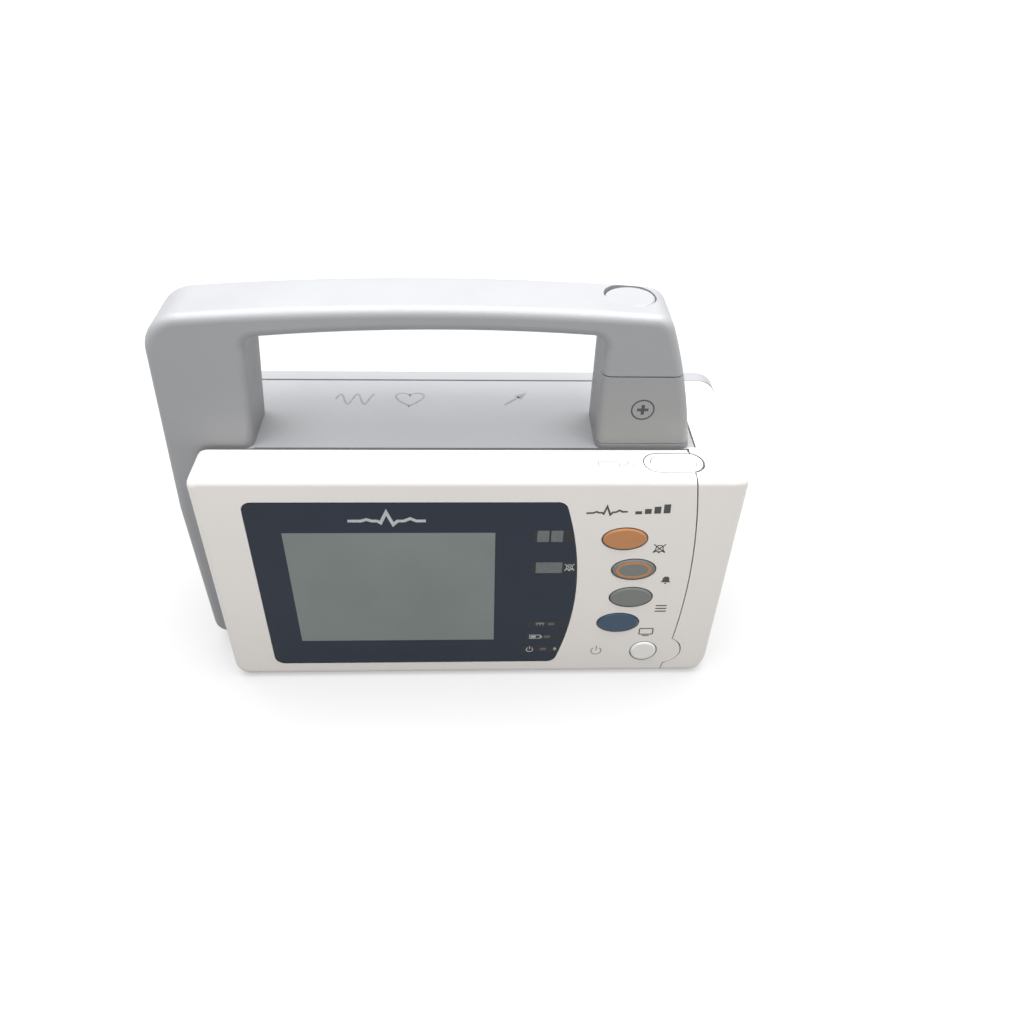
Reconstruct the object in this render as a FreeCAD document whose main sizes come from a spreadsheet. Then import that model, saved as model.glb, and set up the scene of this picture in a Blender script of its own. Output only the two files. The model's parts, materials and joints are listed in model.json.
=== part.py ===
import FreeCAD, Part
import math
import os
import re

import Sketcher
from FreeCAD import Vector

# A compact transport patient monitor: white front and battery end, grey frame with a carrying handle, and a
# rear cover with a docking block. All sizes in millimetres. +X is the monitor's right as its user sees it,
# the display faces -Y, +Z is up, and the origin is under the middle of the whole object, on its feet.

SIZES = {
    # casing
    "body_width": 186.8,
    "body_height": 98.0,
    "foot_height": 1.0,
    "bezel_depth": 16.0,
    "gasket_gap": 1.5,
    "frame_depth": 44.0,
    "cover_depth": 7.5,
    "deck_drop": 0.5,
    "bezel_wall": 2.4,
    "frame_wall": 2.6,
    "cover_wall": 2.4,
    "cover_edge_round": 2.5,
    "edge_round": 3.2,
    "corner_round": 4.5,
    "low_round": 6.0,
    "end_round": 8.0,
    # clearances
    "slip": 0.2,
    "travel_gap": 0.35,
    "seam_gap": 0.45,
    # handle
    "leg_out": 11.7,
    "leg_rise": 5.5,
    "leg_wide_rise": 70.5,
    "leg_taper": 0.9,
    "leg_lean": 3.8,
    "leg_depth": 12.0,
    "handle_rise": 51.0,
    "handle_depth": 24.0,
    "handle_round": 3.0,
    "shoulder_drop": 4.0,
    "shoulder_round": 13.0,
    "head_drop": 2.6,
    "head_round": 7.0,
    "arch_radius": 973.0,
    "grip_left_inset": 22.7,
    "grip_right_inset": 51.8,
    "grip_flare": 3.6,
    "grip_left_drop": 10.9,
    "grip_right_drop": 9.7,
    "grip_radius": 657.0,
    "grip_corner": 4.5,
    "pillar_head_inset": 31.9,
    "pillar_foot_inset": 19.3,
    "pillar_radius": 210.0,
    "panel_rise": 2.3,
    "panel_height": 25.85,
    "panel_depth": 3.6,
    "panel_gap": 0.45,
    # display window
    "window_inset": 16.5,
    "window_rise": 7.3,
    "window_width": 107.8,
    "window_height": 80.8,
    "window_radius": 135.0,
    "window_thick": 1.2,
    "window_corner": 3.6,
    "screen_inset": 64.5,
    "screen_rise": 47.5,
    "screen_width": 72.6,
    "screen_height": 54.45,
    "lcd_margin": 2.5,
    "lcd_thick": 2.6,
    "lcd_tray_depth": 3.0,
    "display_gasket_thick": 0.8,
    # lamps and indicators in the window
    "lamp_inset": 115.3,
    "lamp_wide": 8.9,
    "lamp_tall": 5.2,
    "lamp_split": 0.8,
    "top_lamp_rise": 73.0,
    "low_lamp_rise": 58.1,
    "led_inset": 121.3,
    "led_wide": 2.8,
    "led_tall": 1.5,
    "led_low_rise": 14.6,
    "led_pitch": 7.1,
    "lens_depth": 2.2,
    # keys
    "key_wide": 15.4,
    "key_tall": 9.6,
    "key_proud": 0.5,
    "key_flange": 1.1,
    "key_flange_thick": 0.9,
    "key_travel": 0.8,
    "silence_inset": 41.0,
    "silence_rise": 71.7,
    "alarms_inset": 36.3,
    "alarms_rise": 57.1,
    "smart_inset": 35.7,
    "smart_rise": 43.0,
    "main_inset": 39.1,
    "main_rise": 29.4,
    "power_inset": 27.5,
    "power_rise": 13.2,
    "power_radius": 5.0,
    "power_bulge": 7.2,
    "power_bulge_shift": 7.2,
    "ring_share": 0.84,
    "ring_wide": 1.1,
    "ring_deep": 0.4,
    "mat_thick": 0.8,
    "dome_radius": 2.6,
    "keypad_margin": 3.8,
    "keypad_right_inset": 22.0,
    "keypad_low_rise": 8.8,
    "keypad_high_rise": 80.0,
    "board_thick": 1.6,
    # battery end
    "battery_end": 17.3,
    "seam_inset": 20.2,
    "seam_bow": 4.55,
    "cap_wall": 2.2,
    "cap_end_wall": 5.0,
    "flange_inset": 14.9,
    "flange_thick": 1.4,
    "cell_radius": 9.0,
    "cell_length": 65.0,
    "cell_gap": 0.3,
    "cell_count": 3,
    "contact_pitch": 9.0,
    "case_wall": 0.8,
    "case_low_rise": 9.6,
    "case_height": 74.0,
    "case_back": 25.3,
    "guide_wall": 1.3,
    # eject button and latch
    "eject_inset": 26.3,
    "eject_back": 8.9,
    "eject_wide": 15.4,
    "eject_tall": 8.8,
    "eject_proud": 0.4,
    "eject_thick": 5.4,
    "boss_wide": 20.6,
    "boss_tall": 11.0,
    "boss_depth": 12.0,
    "boss_floor": 1.8,
    "stem_radius": 1.5,
    "latch_thick": 0.8,
    "latch_wide": 4.0,
    "hook_height": 4.0,
    # docking release
    "release_inset": 43.3,
    "release_back": 14.7,
    "release_wide": 16.4,
    "release_deep": 14.8,
    "release_wall": 1.6,
    "release_drop": 2.3,
    "release_thick": 7.5,
    "release_well": 14.5,
    "rod_radius": 2.2,
    "link_thick": 3.5,
    "link_wide": 4.0,
    "pawl_rise": 62.0,
    "pawl_tall": 6.0,
    # docking block
    "dock_left_inset": 19.5,
    "dock_right_inset": 30.3,
    "dock_low_rise": 3.5,
    "dock_high_rise": 85.5,
    "dock_round": 3.0,
    "dock_depth": 17.0,
    "rail_height": 4.4,
    "rail_depth": 3.2,
    "rail_back_inset": 6.0,
    "rail_strip_thick": 0.8,
    "dock_plug_wide": 34.0,
    "dock_plug_tall": 10.0,
    "dock_plug_rise": 22.0,
    # patient connectors on the left side
    "plate_front_inset": 13.8,
    "plate_back_inset": 2.4,
    "plate_low_rise": 5.0,
    "plate_high_rise": 92.0,
    "plate_thick": 2.4,
    "socket_depth": 12.0,
    "socket_proud": 1.4,
    "socket_floor": 1.6,
    "pressure_radius": 7.2,
    "pressure_rise": 82.5,
    "temp_radius": 6.2,
    "temp_rise": 66.5,
    "cuff_radius": 5.4,
    "cuff_bore": 3.0,
    "cuff_rise": 52.5,
    "spo2_wide": 17.0,
    "spo2_tall": 11.0,
    "spo2_rise": 37.0,
    "ecg_radius": 9.2,
    "ecg_rise": 18.5,
    "jack_radius": 3.0,
    "jack_bore": 1.75,
    "socket_wall": 1.3,
    "jack_shift": 10.0,
    "pin_radius": 0.45,
    "pin_length": 4.0,
    # inside
    "chassis_back": 4.6,
    "chassis_thick": 0.8,
    "standoff_height": 1.6,
    "standoff_radius": 2.4,
    "main_board_inset": 12.0,
    "shield_height": 5.0,
    "shield_wall": 0.5,
    "measure_offset": 8.2,
    "pump_radius": 10.5,
    "pump_length": 36.0,
    "pump_head_length": 20.0,
    "pump_rise": 20.0,
    "tube_radius": 2.0,
    "valve_radius": 5.0,
    "valve_length": 16.0,
    "speaker_radius": 14.0,
    "speaker_thick": 5.0,
    # fasteners and feet
    "screw_radius": 1.25,
    "screw_head_radius": 2.7,
    "screw_head_thick": 2.0,
    "screw_boss_radius": 3.1,
    "screw_inset": 6.0,
    "screw_bite": 8.0,
    "foot_radius": 5.0,
    "foot_recess": 0.6,
    "foot_inset": 11.0,
}

PLACES = {
    "handle_left": "-(body_width + leg_out) / 2",
    "body_left": "handle_left + leg_out",
    "body_right": "body_left + body_width",
    "overall_depth": "key_proud + bezel_depth + gasket_gap + frame_depth + cover_depth + dock_depth",
    "body_front": "key_proud - overall_depth / 2",
    "dock_back": "overall_depth / 2",
    "body_floor": "foot_height",
    "body_top": "foot_height + body_height",
    "wall_back": "body_front + bezel_wall",
    "bezel_back": "body_front + bezel_depth",
    "frame_front": "bezel_back + gasket_gap",
    "frame_back": "frame_front + frame_depth",
    "body_back": "frame_back + cover_depth",
    "handle_back": "frame_front + handle_depth",
    "frame_top": "body_top - deck_drop",
    "frame_right": "body_right - battery_end",
    "crown": "body_top + handle_rise",
    "grip_left": "body_left + grip_left_inset",
    "grip_right": "body_right - grip_right_inset",
    "pillar_head": "body_right - pillar_head_inset",
    "pillar_foot": "body_right - pillar_foot_inset",
    "screen_x": "body_left + screen_inset",
    "screen_z": "body_floor + screen_rise",
    "lcd_front": "wall_back + display_gasket_thick",
    "flange_front": "wall_back + 0.1",
    "flange_back": "flange_front + key_flange_thick",
    "mat_front": "flange_back + key_travel + 0.2",
    "keypad_front": "mat_front + mat_thick",
    "eject_x": "body_right - eject_inset",
    "eject_y": "body_front + eject_back",
    "release_x": "body_right - release_inset",
    "release_y": "frame_front + release_back",
    "release_top": "crown - release_drop",
    "link_top": "frame_top - frame_wall - 1.2",
    "link_floor": "link_top - link_thick",
    "link_back": "body_back - cover_wall - 0.6",
    "half_seam": "body_height / 2 + 1",
    "seam_radius": "(half_seam * half_seam + seam_bow * seam_bow) / (2 * seam_bow)",
    "flange_left": "body_right - flange_inset",
    "case_right": "flange_left",
    "cell_pitch": "2 * cell_radius + cell_gap",
    "case_left": "case_right - cell_count * cell_pitch - 2 * case_wall - 0.6 - 2.5",
    "case_front": "body_front + case_back",
    "case_rear": "case_front + 2 * cell_radius + 2 * case_wall + 0.4",
    "case_floor": "body_floor + case_low_rise",
    "case_top": "case_floor + case_height",
    "dock_left": "body_left + dock_left_inset",
    "dock_right": "body_right - dock_right_inset",
    "dock_floor": "body_floor + dock_low_rise",
    "dock_top": "body_floor + dock_high_rise",
    "plate_front": "frame_front + plate_front_inset",
    "plate_rear": "frame_back - plate_back_inset",
    "socket_y": "(plate_front + plate_rear) / 2",
    "chassis_front": "frame_front + chassis_back",
    "chassis_rear": "chassis_front + chassis_thick",
    "main_board_rear": "chassis_front - standoff_height",
    "main_board_front": "main_board_rear - board_thick",
    "measure_front": "socket_y + measure_offset",
    "measure_rear": "measure_front + board_thick",
    "pump_z": "body_floor + pump_rise",
    "pump_y": "(chassis_rear + measure_front) / 2 + 1",
}

VIEWS = {
    "front": ("XZ_Plane", -1, True),
    "top": ("XY_Plane", 1, False),
    "side": ("YZ_Plane", 1, False),
}

doc = FreeCAD.newDocument("patient_monitor")
pieces = []


def make_sheet():
    """The driving sizes, one aliased cell each, and the places worked out from them."""
    sheet = doc.addObject("Spreadsheet::Sheet", "Sizes")
    for row, (alias, number) in enumerate(SIZES.items(), start=1):
        sheet.set("A%d" % row, alias)
        sheet.set("B%d" % row, str(number))
        sheet.setAlias("B%d" % row, alias)
    doc.recompute()
    places = doc.addObject("App::VarSet", "Places")
    for name in PLACES:
        places.addProperty("App::PropertyFloat", name, "Places", "")
    for name, text in PLACES.items():
        places.setExpression(name, bind(text))
    doc.recompute()
    return places


def bind(text):
    """The expression that ties a property to the sheet's cells and the worked-out places."""

    def swap(match):
        word = match.group(0)
        if word in SIZES:
            return "Sizes." + word
        if word in PLACES:
            return "Places." + word
        return word

    return re.sub(r"[a-z_]+[a-z_0-9]*", swap, text)


def value(text):
    """The number that an expression has now."""

    def swap(match):
        word = match.group(0)
        if word in SIZES:
            return "(%.6f)" % SIZES[word]
        if word in PLACES:
            return "(%.6f)" % getattr(places, word)
        return word

    return FreeCAD.Units.Quantity(re.sub(r"[a-z_]+[a-z_0-9]*", swap, str(text))).Value


places = make_sheet()


# ---- sketches -------------------------------------------------------------------------------------------

def fix_point(sketch, geometry, vertex, across, up):
    for kind, text in (("DistanceX", across), ("DistanceY", up)):
        number = sketch.addConstraint(Sketcher.Constraint(kind, -1, 1, geometry, vertex, value(text)))
        sketch.setExpression("Constraints[%d]" % number, bind(text))


def fix_size(sketch, kind, geometry, text):
    number = sketch.addConstraint(Sketcher.Constraint(kind, geometry, value(text)))
    sketch.setExpression("Constraints[%d]" % number, bind(text))


def arc_between(first, last, radius):
    """The shorter arc that turns anticlockwise from first to last."""
    chord = last - first
    half = chord.Length / 2
    rise = math.sqrt(radius * radius - half * half)
    centre = (first + last) * 0.5 + Vector(-chord.y, chord.x, 0) * (rise / chord.Length)
    start = math.atan2(first.y - centre.y, first.x - centre.x)
    end = math.atan2(last.y - centre.y, last.x - centre.x)
    return Part.ArcOfCircle(Part.Circle(centre, Vector(0, 0, 1), radius), start, end)


def outline(*points):
    """A closed outline. A point with a radius and a turn starts an arc to the next point."""

    def draw(sketch):
        spots = [Vector(value(point[0]), value(point[1]), 0) for point in points]
        edges = []
        for index, point in enumerate(points):
            here, there = spots[index], spots[(index + 1) % len(points)]
            if len(point) == 2:
                edges.append((sketch.addGeometry(Part.LineSegment(here, there)), 1, 2))
            elif point[3] == "left":
                edges.append((sketch.addGeometry(arc_between(here, there, value(point[2]))), 1, 2))
            else:
                edges.append((sketch.addGeometry(arc_between(there, here, value(point[2]))), 2, 1))
        for index, (edge, start, end) in enumerate(edges):
            after, after_start, after_end = edges[(index + 1) % len(edges)]
            sketch.addConstraint(Sketcher.Constraint("Coincident", edge, end, after, after_start))
        for (edge, start, end), point in zip(edges, points):
            fix_point(sketch, edge, start, point[0], point[1])
            if len(point) > 2:
                fix_size(sketch, "Radius", edge, point[2])

    return draw


def rect(left, low, right, high):
    return outline((left, low), (right, low), (right, high), (left, high))


def around(across, up, wide, tall):
    """A rectangle about its centre."""
    return rect(
        "%s - (%s) / 2" % (across, wide),
        "%s - (%s) / 2" % (up, tall),
        "%s + (%s) / 2" % (across, wide),
        "%s + (%s) / 2" % (up, tall),
    )


def circle(across, up, radius):
    def draw(sketch):
        centre = Vector(value(across), value(up), 0)
        edge = sketch.addGeometry(Part.Circle(centre, Vector(0, 0, 1), value(radius)))
        fix_point(sketch, edge, 3, across, up)
        fix_size(sketch, "Radius", edge, radius)

    return draw


def ellipse(across, up, wide, tall):
    def draw(sketch):
        centre = Vector(value(across), value(up), 0)
        edge = sketch.addGeometry(Part.Ellipse(centre, value(wide) / 2, value(tall) / 2))
        sketch.exposeInternalGeometry(edge)
        fix_point(sketch, edge, 3, across, up)
        sketch.addConstraint(Sketcher.Constraint("Horizontal", edge + 1))
        fix_size(sketch, "Distance", edge + 1, wide)
        fix_size(sketch, "Distance", edge + 2, tall)

    return draw


def slot(across, up, wide, tall):
    """A level slot with round ends."""

    def draw(sketch):
        reach = "((%s) - (%s)) / 2" % (wide, tall)
        radius = value(tall) / 2
        ends = []
        for sign, start in (("+", -math.pi / 2), ("-", math.pi / 2)):
            middle = "%s %s %s" % (across, sign, reach)
            centre = Vector(value(middle), value(up), 0)
            round_end = Part.ArcOfCircle(Part.Circle(centre, Vector(0, 0, 1), radius), start, start + math.pi)
            edge = sketch.addGeometry(round_end)
            fix_point(sketch, edge, 3, middle, up)
            fix_size(sketch, "Radius", edge, "(%s) / 2" % tall)
            ends.append(edge)
        for first, last in (ends, ends[::-1]):
            tip = sketch.getPoint(first, 2)
            foot = sketch.getPoint(last, 1)
            side = sketch.addGeometry(Part.LineSegment(tip, foot))
            sketch.addConstraint(Sketcher.Constraint("Coincident", first, 2, side, 1))
            sketch.addConstraint(Sketcher.Constraint("Coincident", side, 2, last, 1))
            sketch.addConstraint(Sketcher.Constraint("Vertical", first, 2, first, 3))
            sketch.addConstraint(Sketcher.Constraint("Vertical", last, 1, last, 3))

    return draw


# ---- features -------------------------------------------------------------------------------------------

def new_body(label):
    body = doc.addObject("PartDesign::Body", label)
    body.Label = label
    pieces.append(body)
    return body


def draw_on(body, view, start, loops):
    """A sketch square to a view's axis, at a distance along it."""
    plane, sign, flipped = VIEWS[view]
    sketch = body.newObject("Sketcher::SketchObject", body.Label + "_sketch")
    support = [item for item in body.Origin.OriginFeatures if item.Role == plane][0]
    sketch.AttachmentSupport = (support, [""])
    sketch.MapMode = "FlatFace"
    sketch.setExpression(".AttachmentOffset.Base.z", bind("%d * (%s)" % (sign, start)))
    for loop in loops:
        loop(sketch)
    return sketch


def add(body, view, start, length, *loops):
    """Material from start, for length, towards +Y in a front view, +Z in a top view, +X in a side view."""
    pad = body.newObject("PartDesign::Pad", body.Label + "_pad")
    pad.Profile = draw_on(body, view, start, loops)
    pad.Reversed = VIEWS[view][2]
    pad.setExpression("Length", bind(length))
    body.Tip = pad
    doc.recompute()
    return pad


def cut(body, view, start, length, *loops):
    """Removes material the same way, and makes sure that some was there."""
    before = body.Shape.Volume
    pocket = body.newObject("PartDesign::Pocket", body.Label + "_pocket")
    pocket.Profile = draw_on(body, view, start, loops)
    pocket.Reversed = not VIEWS[view][2]
    pocket.setExpression("Length", bind(length))
    body.Tip = pocket
    doc.recompute()
    if body.Shape.Volume > before - 0.001:
        raise RuntimeError("%s cuts nothing" % pocket.Label)
    return pocket


def lies_on(edge, planes):
    """True where every sampled point of the edge lies in all the given planes."""
    first, last = edge.ParameterRange
    for share in (0, 0.5, 1):
        point = edge.valueAt(first + (last - first) * share)
        for axis, place in planes.items():
            if abs(getattr(point, axis) - place) > 0.02:
                return False
    return True


def runs_along(edge, axis):
    first, last = edge.ParameterRange
    way = edge.valueAt(last) - edge.valueAt(first)
    straight = abs(way.Length - edge.Length) < 0.01
    return straight and abs(getattr(way, axis)) > 0.999 * way.Length


def pick(shape, along=None, near=None, skip=(), **planes):
    """Names of the edges that lie in the planes, run along an axis, and have their middle in a box."""
    planes = {axis: value(text) for axis, text in planes.items()}
    skipped = [{axis: value(text)} for axis, text in skip]
    names = []
    for number, edge in enumerate(shape.Edges, start=1):
        if along and not runs_along(edge, along):
            continue
        if not lies_on(edge, planes) or any(lies_on(edge, plane) for plane in skipped):
            continue
        if near and not all(value(low) < getattr(edge.CenterOfMass, axis) < value(high)
                            for axis, (low, high) in near.items()):
            continue
        names.append("Edge%d" % number)
    if not names:
        raise RuntimeError("no edge found to round")
    return names


def soften(body, radius, along=None, near=None, skip=(), **planes):
    """Rounds the edges that pick finds."""
    before = body.Tip
    names = pick(before.Shape, along, near, skip, **planes)
    fillet = body.newObject("PartDesign::Fillet", body.Label + "_fillet")
    fillet.Base = (before, names)
    fillet.setExpression("Radius", bind(radius))
    body.Tip = fillet
    doc.recompute()
    if fillet.Shape.isNull() or not fillet.Shape.isValid():
        raise RuntimeError("%s failed" % fillet.Label)
    return fillet


def bind_place(item, x, y, z):
    for axis, text in (("x", x), ("y", y), ("z", z)):
        item.setExpression(".Placement.Base." + axis, bind(text))


def block(label, x, y, z):
    """A plain block between pairs of places."""
    item = doc.addObject("Part::Box", label)
    item.Label = label
    for prop, (low, high) in (("Length", x), ("Width", y), ("Height", z)):
        item.setExpression(prop, bind("(%s) - (%s)" % (high, low)))
    bind_place(item, x[0], y[0], z[0])
    return item


def rod(label, axis, x, y, z, radius, length):
    """A cylinder that starts at a point and runs along an axis."""
    item = doc.addObject("Part::Cylinder", label)
    item.Label = label
    turn = {"x": (Vector(0, 1, 0), 90), "y": (Vector(1, 0, 0), -90), "z": (Vector(0, 0, 1), 0)}[axis]
    item.Placement.Rotation = FreeCAD.Rotation(*turn)
    item.setExpression("Radius", bind(radius))
    item.setExpression("Height", bind(length))
    bind_place(item, x, y, z)
    return item


def group(label, items):
    """Several separate solids kept as one sub-part."""
    item = doc.addObject("Part::Compound", label)
    item.Label = label
    item.Links = items
    pieces.append(item)
    return item


def joined(label, items):
    item = doc.addObject("Part::MultiFuse", label)
    item.Label = label
    item.Shapes = items
    return item


def without(label, base, tools):
    item = doc.addObject("Part::Cut", label)
    item.Label = label
    item.Base = base
    item.Tool = tools[0] if len(tools) == 1 else joined(label + "_tools", tools)
    return item


def piece(item):
    pieces.append(item)
    return item


def coil(label, x, y, z, radius, wire, height, turns):
    """A compression spring that stands on a point."""
    body = new_body(label)
    sketch = draw_on(body, "front", y, [circle(radius, wire, wire)])
    sketch.setExpression(".AttachmentOffset.Base.x", bind(x))
    sketch.setExpression(".AttachmentOffset.Base.y", bind(z))
    winding = body.newObject("PartDesign::AdditiveHelix", label + "_winding")
    winding.Profile = sketch
    winding.ReferenceAxis = (sketch, ["V_Axis"])
    winding.Mode = 0
    winding.setExpression("Height", bind("(%s) - 2 * (%s)" % (height, wire)))
    winding.setExpression("Pitch", bind("((%s) - 2 * (%s)) / %s" % (height, wire, turns)))
    winding.HasBeenEdited = True
    body.Tip = winding
    doc.recompute()
    return body


# ---- outlines that several pieces share -----------------------------------------------------------------

def seam():
    """Everything right of the bowed line between the bezel and the battery end."""
    edge = "body_right - seam_inset"
    return outline(
        (edge, "body_floor - 1", "seam_radius", "left"),
        (edge, "body_top + 1"),
        ("body_right + 5", "body_top + 1"),
        ("body_right + 5", "body_floor - 1"),
    )


def window_outline(shrink):
    """The display window: square on the left, bowed on the right."""
    left = "body_left + window_inset + (%s)" % shrink
    right = "body_left + window_inset + window_width - (%s)" % shrink
    low = "body_floor + window_rise + (%s)" % shrink
    high = "body_floor + window_rise + window_height - (%s)" % shrink
    return outline((left, low), (right, low, "window_radius", "left"), (right, high), (left, high))


def handle_outline():
    """Left leg, arch and right pillar in one line, down into the top wall of the frame."""
    inside = "body_left + frame_wall - 0.5"
    sunk = "frame_top - frame_wall + 0.5"
    return outline(
        (inside, "body_floor + leg_rise"),
        (inside, sunk),
        ("pillar_foot", sunk),
        ("pillar_foot", "frame_top", "pillar_radius", "left"),
        ("pillar_head", "crown - head_drop", "arch_radius", "left"),
        ("handle_left + leg_lean", "crown - shoulder_drop"),
        ("handle_left", "body_floor + leg_wide_rise"),
        ("handle_left + leg_taper", "body_floor + leg_rise"),
    )


def grip_outline():
    """The hole for the hand: level deck below, shallow arch above."""
    return outline(
        ("grip_left - grip_flare", "frame_top"),
        ("grip_right", "frame_top"),
        ("grip_right", "crown - grip_right_drop", "grip_radius", "left"),
        ("grip_left", "crown - grip_left_drop"),
    )


def shell_outline(inset, right="body_right"):
    """The upright section of the casing, drawn in by an inset."""
    return rect(
        "body_left + (%s)" % inset,
        "body_floor + (%s)" % inset,
        "(%s) - (%s)" % (right, inset),
        "body_top - (%s)" % inset,
    )


def dock_hollow():
    """The inside of the docking block, clear of the rail grooves."""
    return rect(
        "dock_left + rail_depth + cover_wall",
        "dock_floor + cover_wall",
        "dock_right - rail_depth - cover_wall",
        "dock_top - cover_wall",
    )


def eject_boss(grow="0"):
    return slot("eject_x", "eject_y", "boss_wide + 2 * (%s)" % grow, "boss_tall + 2 * (%s)" % grow)


def eject_oval(grow="0"):
    return slot("eject_x", "eject_y", "eject_wide + 2 * (%s)" % grow, "eject_tall + 2 * (%s)" % grow)


KEYS = ("silence", "alarms", "smart", "main")


def key_oval(key, grow="0"):
    return ellipse(
        "body_right - %s_inset" % key,
        "body_floor + %s_rise" % key,
        "key_wide + 2 * (%s)" % grow,
        "key_tall + 2 * (%s)" % grow,
    )


def release_oval(grow="0"):
    """The release button's outline, let out by an even amount."""
    wide = "release_wide + 2 * (%s)" % grow
    deep = "release_deep + 2 * (%s)" % grow
    return ellipse("release_x", "release_y", wide, deep)


def power_circle(grow="0", shift="0"):
    centre = "body_right - power_inset + (%s)" % shift
    return circle(centre, "body_floor + power_rise", "power_radius + (%s)" % grow)


def lamps(shrink="0"):
    """Two squares of the upper alarm lamp and the lower lamp, as level slits."""
    left = "body_left + lamp_inset"
    half = "(lamp_wide - lamp_split) / 2"
    spots = (
        ("top_lamp_rise", "%s + %s / 2" % (left, half), half),
        ("top_lamp_rise", "%s + lamp_wide - %s / 2" % (left, half), half),
        ("low_lamp_rise", "%s + lamp_wide / 2" % left, "lamp_wide"),
    )
    return [
        around(
            across,
            "body_floor + %s" % rise,
            "%s - 2 * (%s)" % (wide, shrink),
            "lamp_tall - 2 * (%s)" % shrink,
        )
        for rise, across, wide in spots
    ]


LED_ROWS = (0, 1, 2)


def leds(shrink="0"):
    return [
        around(
            "body_left + led_inset",
            "body_floor + led_low_rise + %d * led_pitch" % row,
            "led_wide - 2 * (%s)" % shrink,
            "led_tall - 2 * (%s)" % shrink,
        )
        for row in LED_ROWS
    ]


# Case screws run from the rear cover to the bezel, in the corners that the battery leaves free.
SCREWS = (
    ("body_left + screw_inset", "body_floor + screw_inset"),
    ("body_left + screw_inset", "body_top - screw_inset - 1"),
    ("frame_right - screw_inset + 0.4", "body_floor + screw_inset - 1"),
    ("release_x - 17", "body_top - screw_inset"),
)

FEET = (
    ("body_left + foot_inset", "body_front + foot_inset - 2.5"),
    ("frame_right - foot_inset", "body_front + foot_inset - 2.5"),
    ("body_left + foot_inset", "frame_back - foot_inset"),
    ("frame_right - foot_inset", "frame_back - foot_inset"),
)


def round_left_corners(body):
    soften(body, "corner_round", along="y", x="body_left", z="body_top")
    soften(body, "low_round", along="y", x="body_left", z="body_floor")


def rounded_shell(body, depth):
    """A solid block of the front casing: large rounds at the battery end, small ones elsewhere."""
    add(body, "front", "body_front", depth, shell_outline("0"))
    soften(body, "end_round", x="body_right", near={"y": ("body_front - 1", "body_front + (%s) - 1" % depth)})
    round_left_corners(body)
    soften(body, "edge_round", y="body_front", near={"x": ("body_left - 1", "body_right - end_round - 0.5")})


# ---- front ----------------------------------------------------------------------------------------------

def make_front_bezel():
    body = new_body("front_bezel")
    rounded_shell(body, "bezel_depth")
    cut(body, "front", "body_front - 1", "bezel_depth + 2", seam())
    inner_right = "body_right - seam_inset - bezel_wall"
    cut(body, "front", "wall_back", "bezel_depth", outline(
        ("body_left + bezel_wall", "body_floor + bezel_wall"),
        (inner_right, "body_floor + bezel_wall", "seam_radius", "left"),
        (inner_right, "body_top - bezel_wall"),
        ("body_left + bezel_wall", "body_top - bezel_wall"),
    ))
    bulge = power_circle("power_bulge - power_radius", "power_bulge_shift")
    add(body, "front", "body_front", "bezel_wall", bulge)
    add(body, "top", "body_top - boss_depth", "boss_depth", eject_boss())
    cut(body, "top", "body_top - boss_depth + boss_floor", "boss_depth", eject_oval("slip"))
    stem_hole = circle("eject_x", "eject_y", "stem_radius + travel_gap")
    cut(body, "top", "body_top - boss_depth - 1", "boss_depth", stem_hole)
    cut(body, "front", "body_front - 1", "window_thick + 1", window_outline("-slip / 2"))
    soften(body, "window_corner", along="y", near={
        "x": ("body_left + window_inset - 1", "body_left + window_inset + window_width + 1"),
        "y": ("body_front", "body_front + window_thick"),
        "z": ("body_floor + window_rise - 1", "body_floor + window_rise + window_height + 1"),
    })
    cut(body, "front", "body_front", "bezel_wall + 1",
        around("screen_x", "screen_z", "screen_width + 1", "screen_height + 1"), *lamps(), *leds())
    cut(body, "front", "body_front - 1", "bezel_wall + 2",
        *[key_oval(key, "slip") for key in KEYS], power_circle("slip"))
    latch_slot = rect("eject_y - latch_wide / 2 - 1", "body_top - boss_depth - latch_thick - hook_height - 5",
                      "eject_y + latch_wide / 2 + 1", "body_top - boss_depth")
    cut(body, "side", "eject_x + 2", "15", latch_slot)
    arm = "body_top - boss_depth"
    add(body, "front", "eject_y - latch_wide / 2", "latch_wide",
        rect("eject_x - 11.5", arm + " - 0.6", "eject_x - 8.5", "body_top - 1"))
    for across, up in SCREWS:
        boss = circle(across, up, "screw_boss_radius")
        add(body, "front", "wall_back - 0.2", "bezel_depth - bezel_wall + 0.2", boss)
        cut(body, "front", "bezel_back - screw_bite", "screw_bite", circle(across, up, "screw_radius + 0.05"))
    for across, back in FEET[:2]:
        cut(body, "top", "body_floor - 1", "foot_recess + 1", circle(across, back, "foot_radius + slip"))
    return body


def make_window():
    body = new_body("display_window")
    add(body, "front", "body_front", "window_thick", window_outline("slip / 2"))
    soften(body, "window_corner", along="y")
    return body


def make_display():
    """Display panel with its gasket and steel tray, behind the window."""
    gasket = new_body("display_gasket")
    wide = "screen_width + 2 * lcd_margin"
    tall = "screen_height + 2 * lcd_margin"
    add(gasket, "front", "wall_back", "display_gasket_thick", around("screen_x", "screen_z", wide, tall),
        around("screen_x", "screen_z", "screen_width + 1.6", "screen_height + 1.6"))
    panel = new_body("lcd_panel")
    add(panel, "front", "lcd_front", "lcd_thick", around("screen_x", "screen_z", wide, tall))
    tray = new_body("lcd_tray")
    outer = around("screen_x", "screen_z", wide + " + 2.4", tall + " + 2.4")
    add(tray, "front", "lcd_front + 0.6", "lcd_thick + lcd_tray_depth - 0.6", outer)
    soften(tray, "1", along="y")
    hollow = around("screen_x", "screen_z", wide + " + 0.4", tall + " + 0.4")
    cut(tray, "front", "lcd_front - 1", "lcd_thick + 1", hollow)


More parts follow.
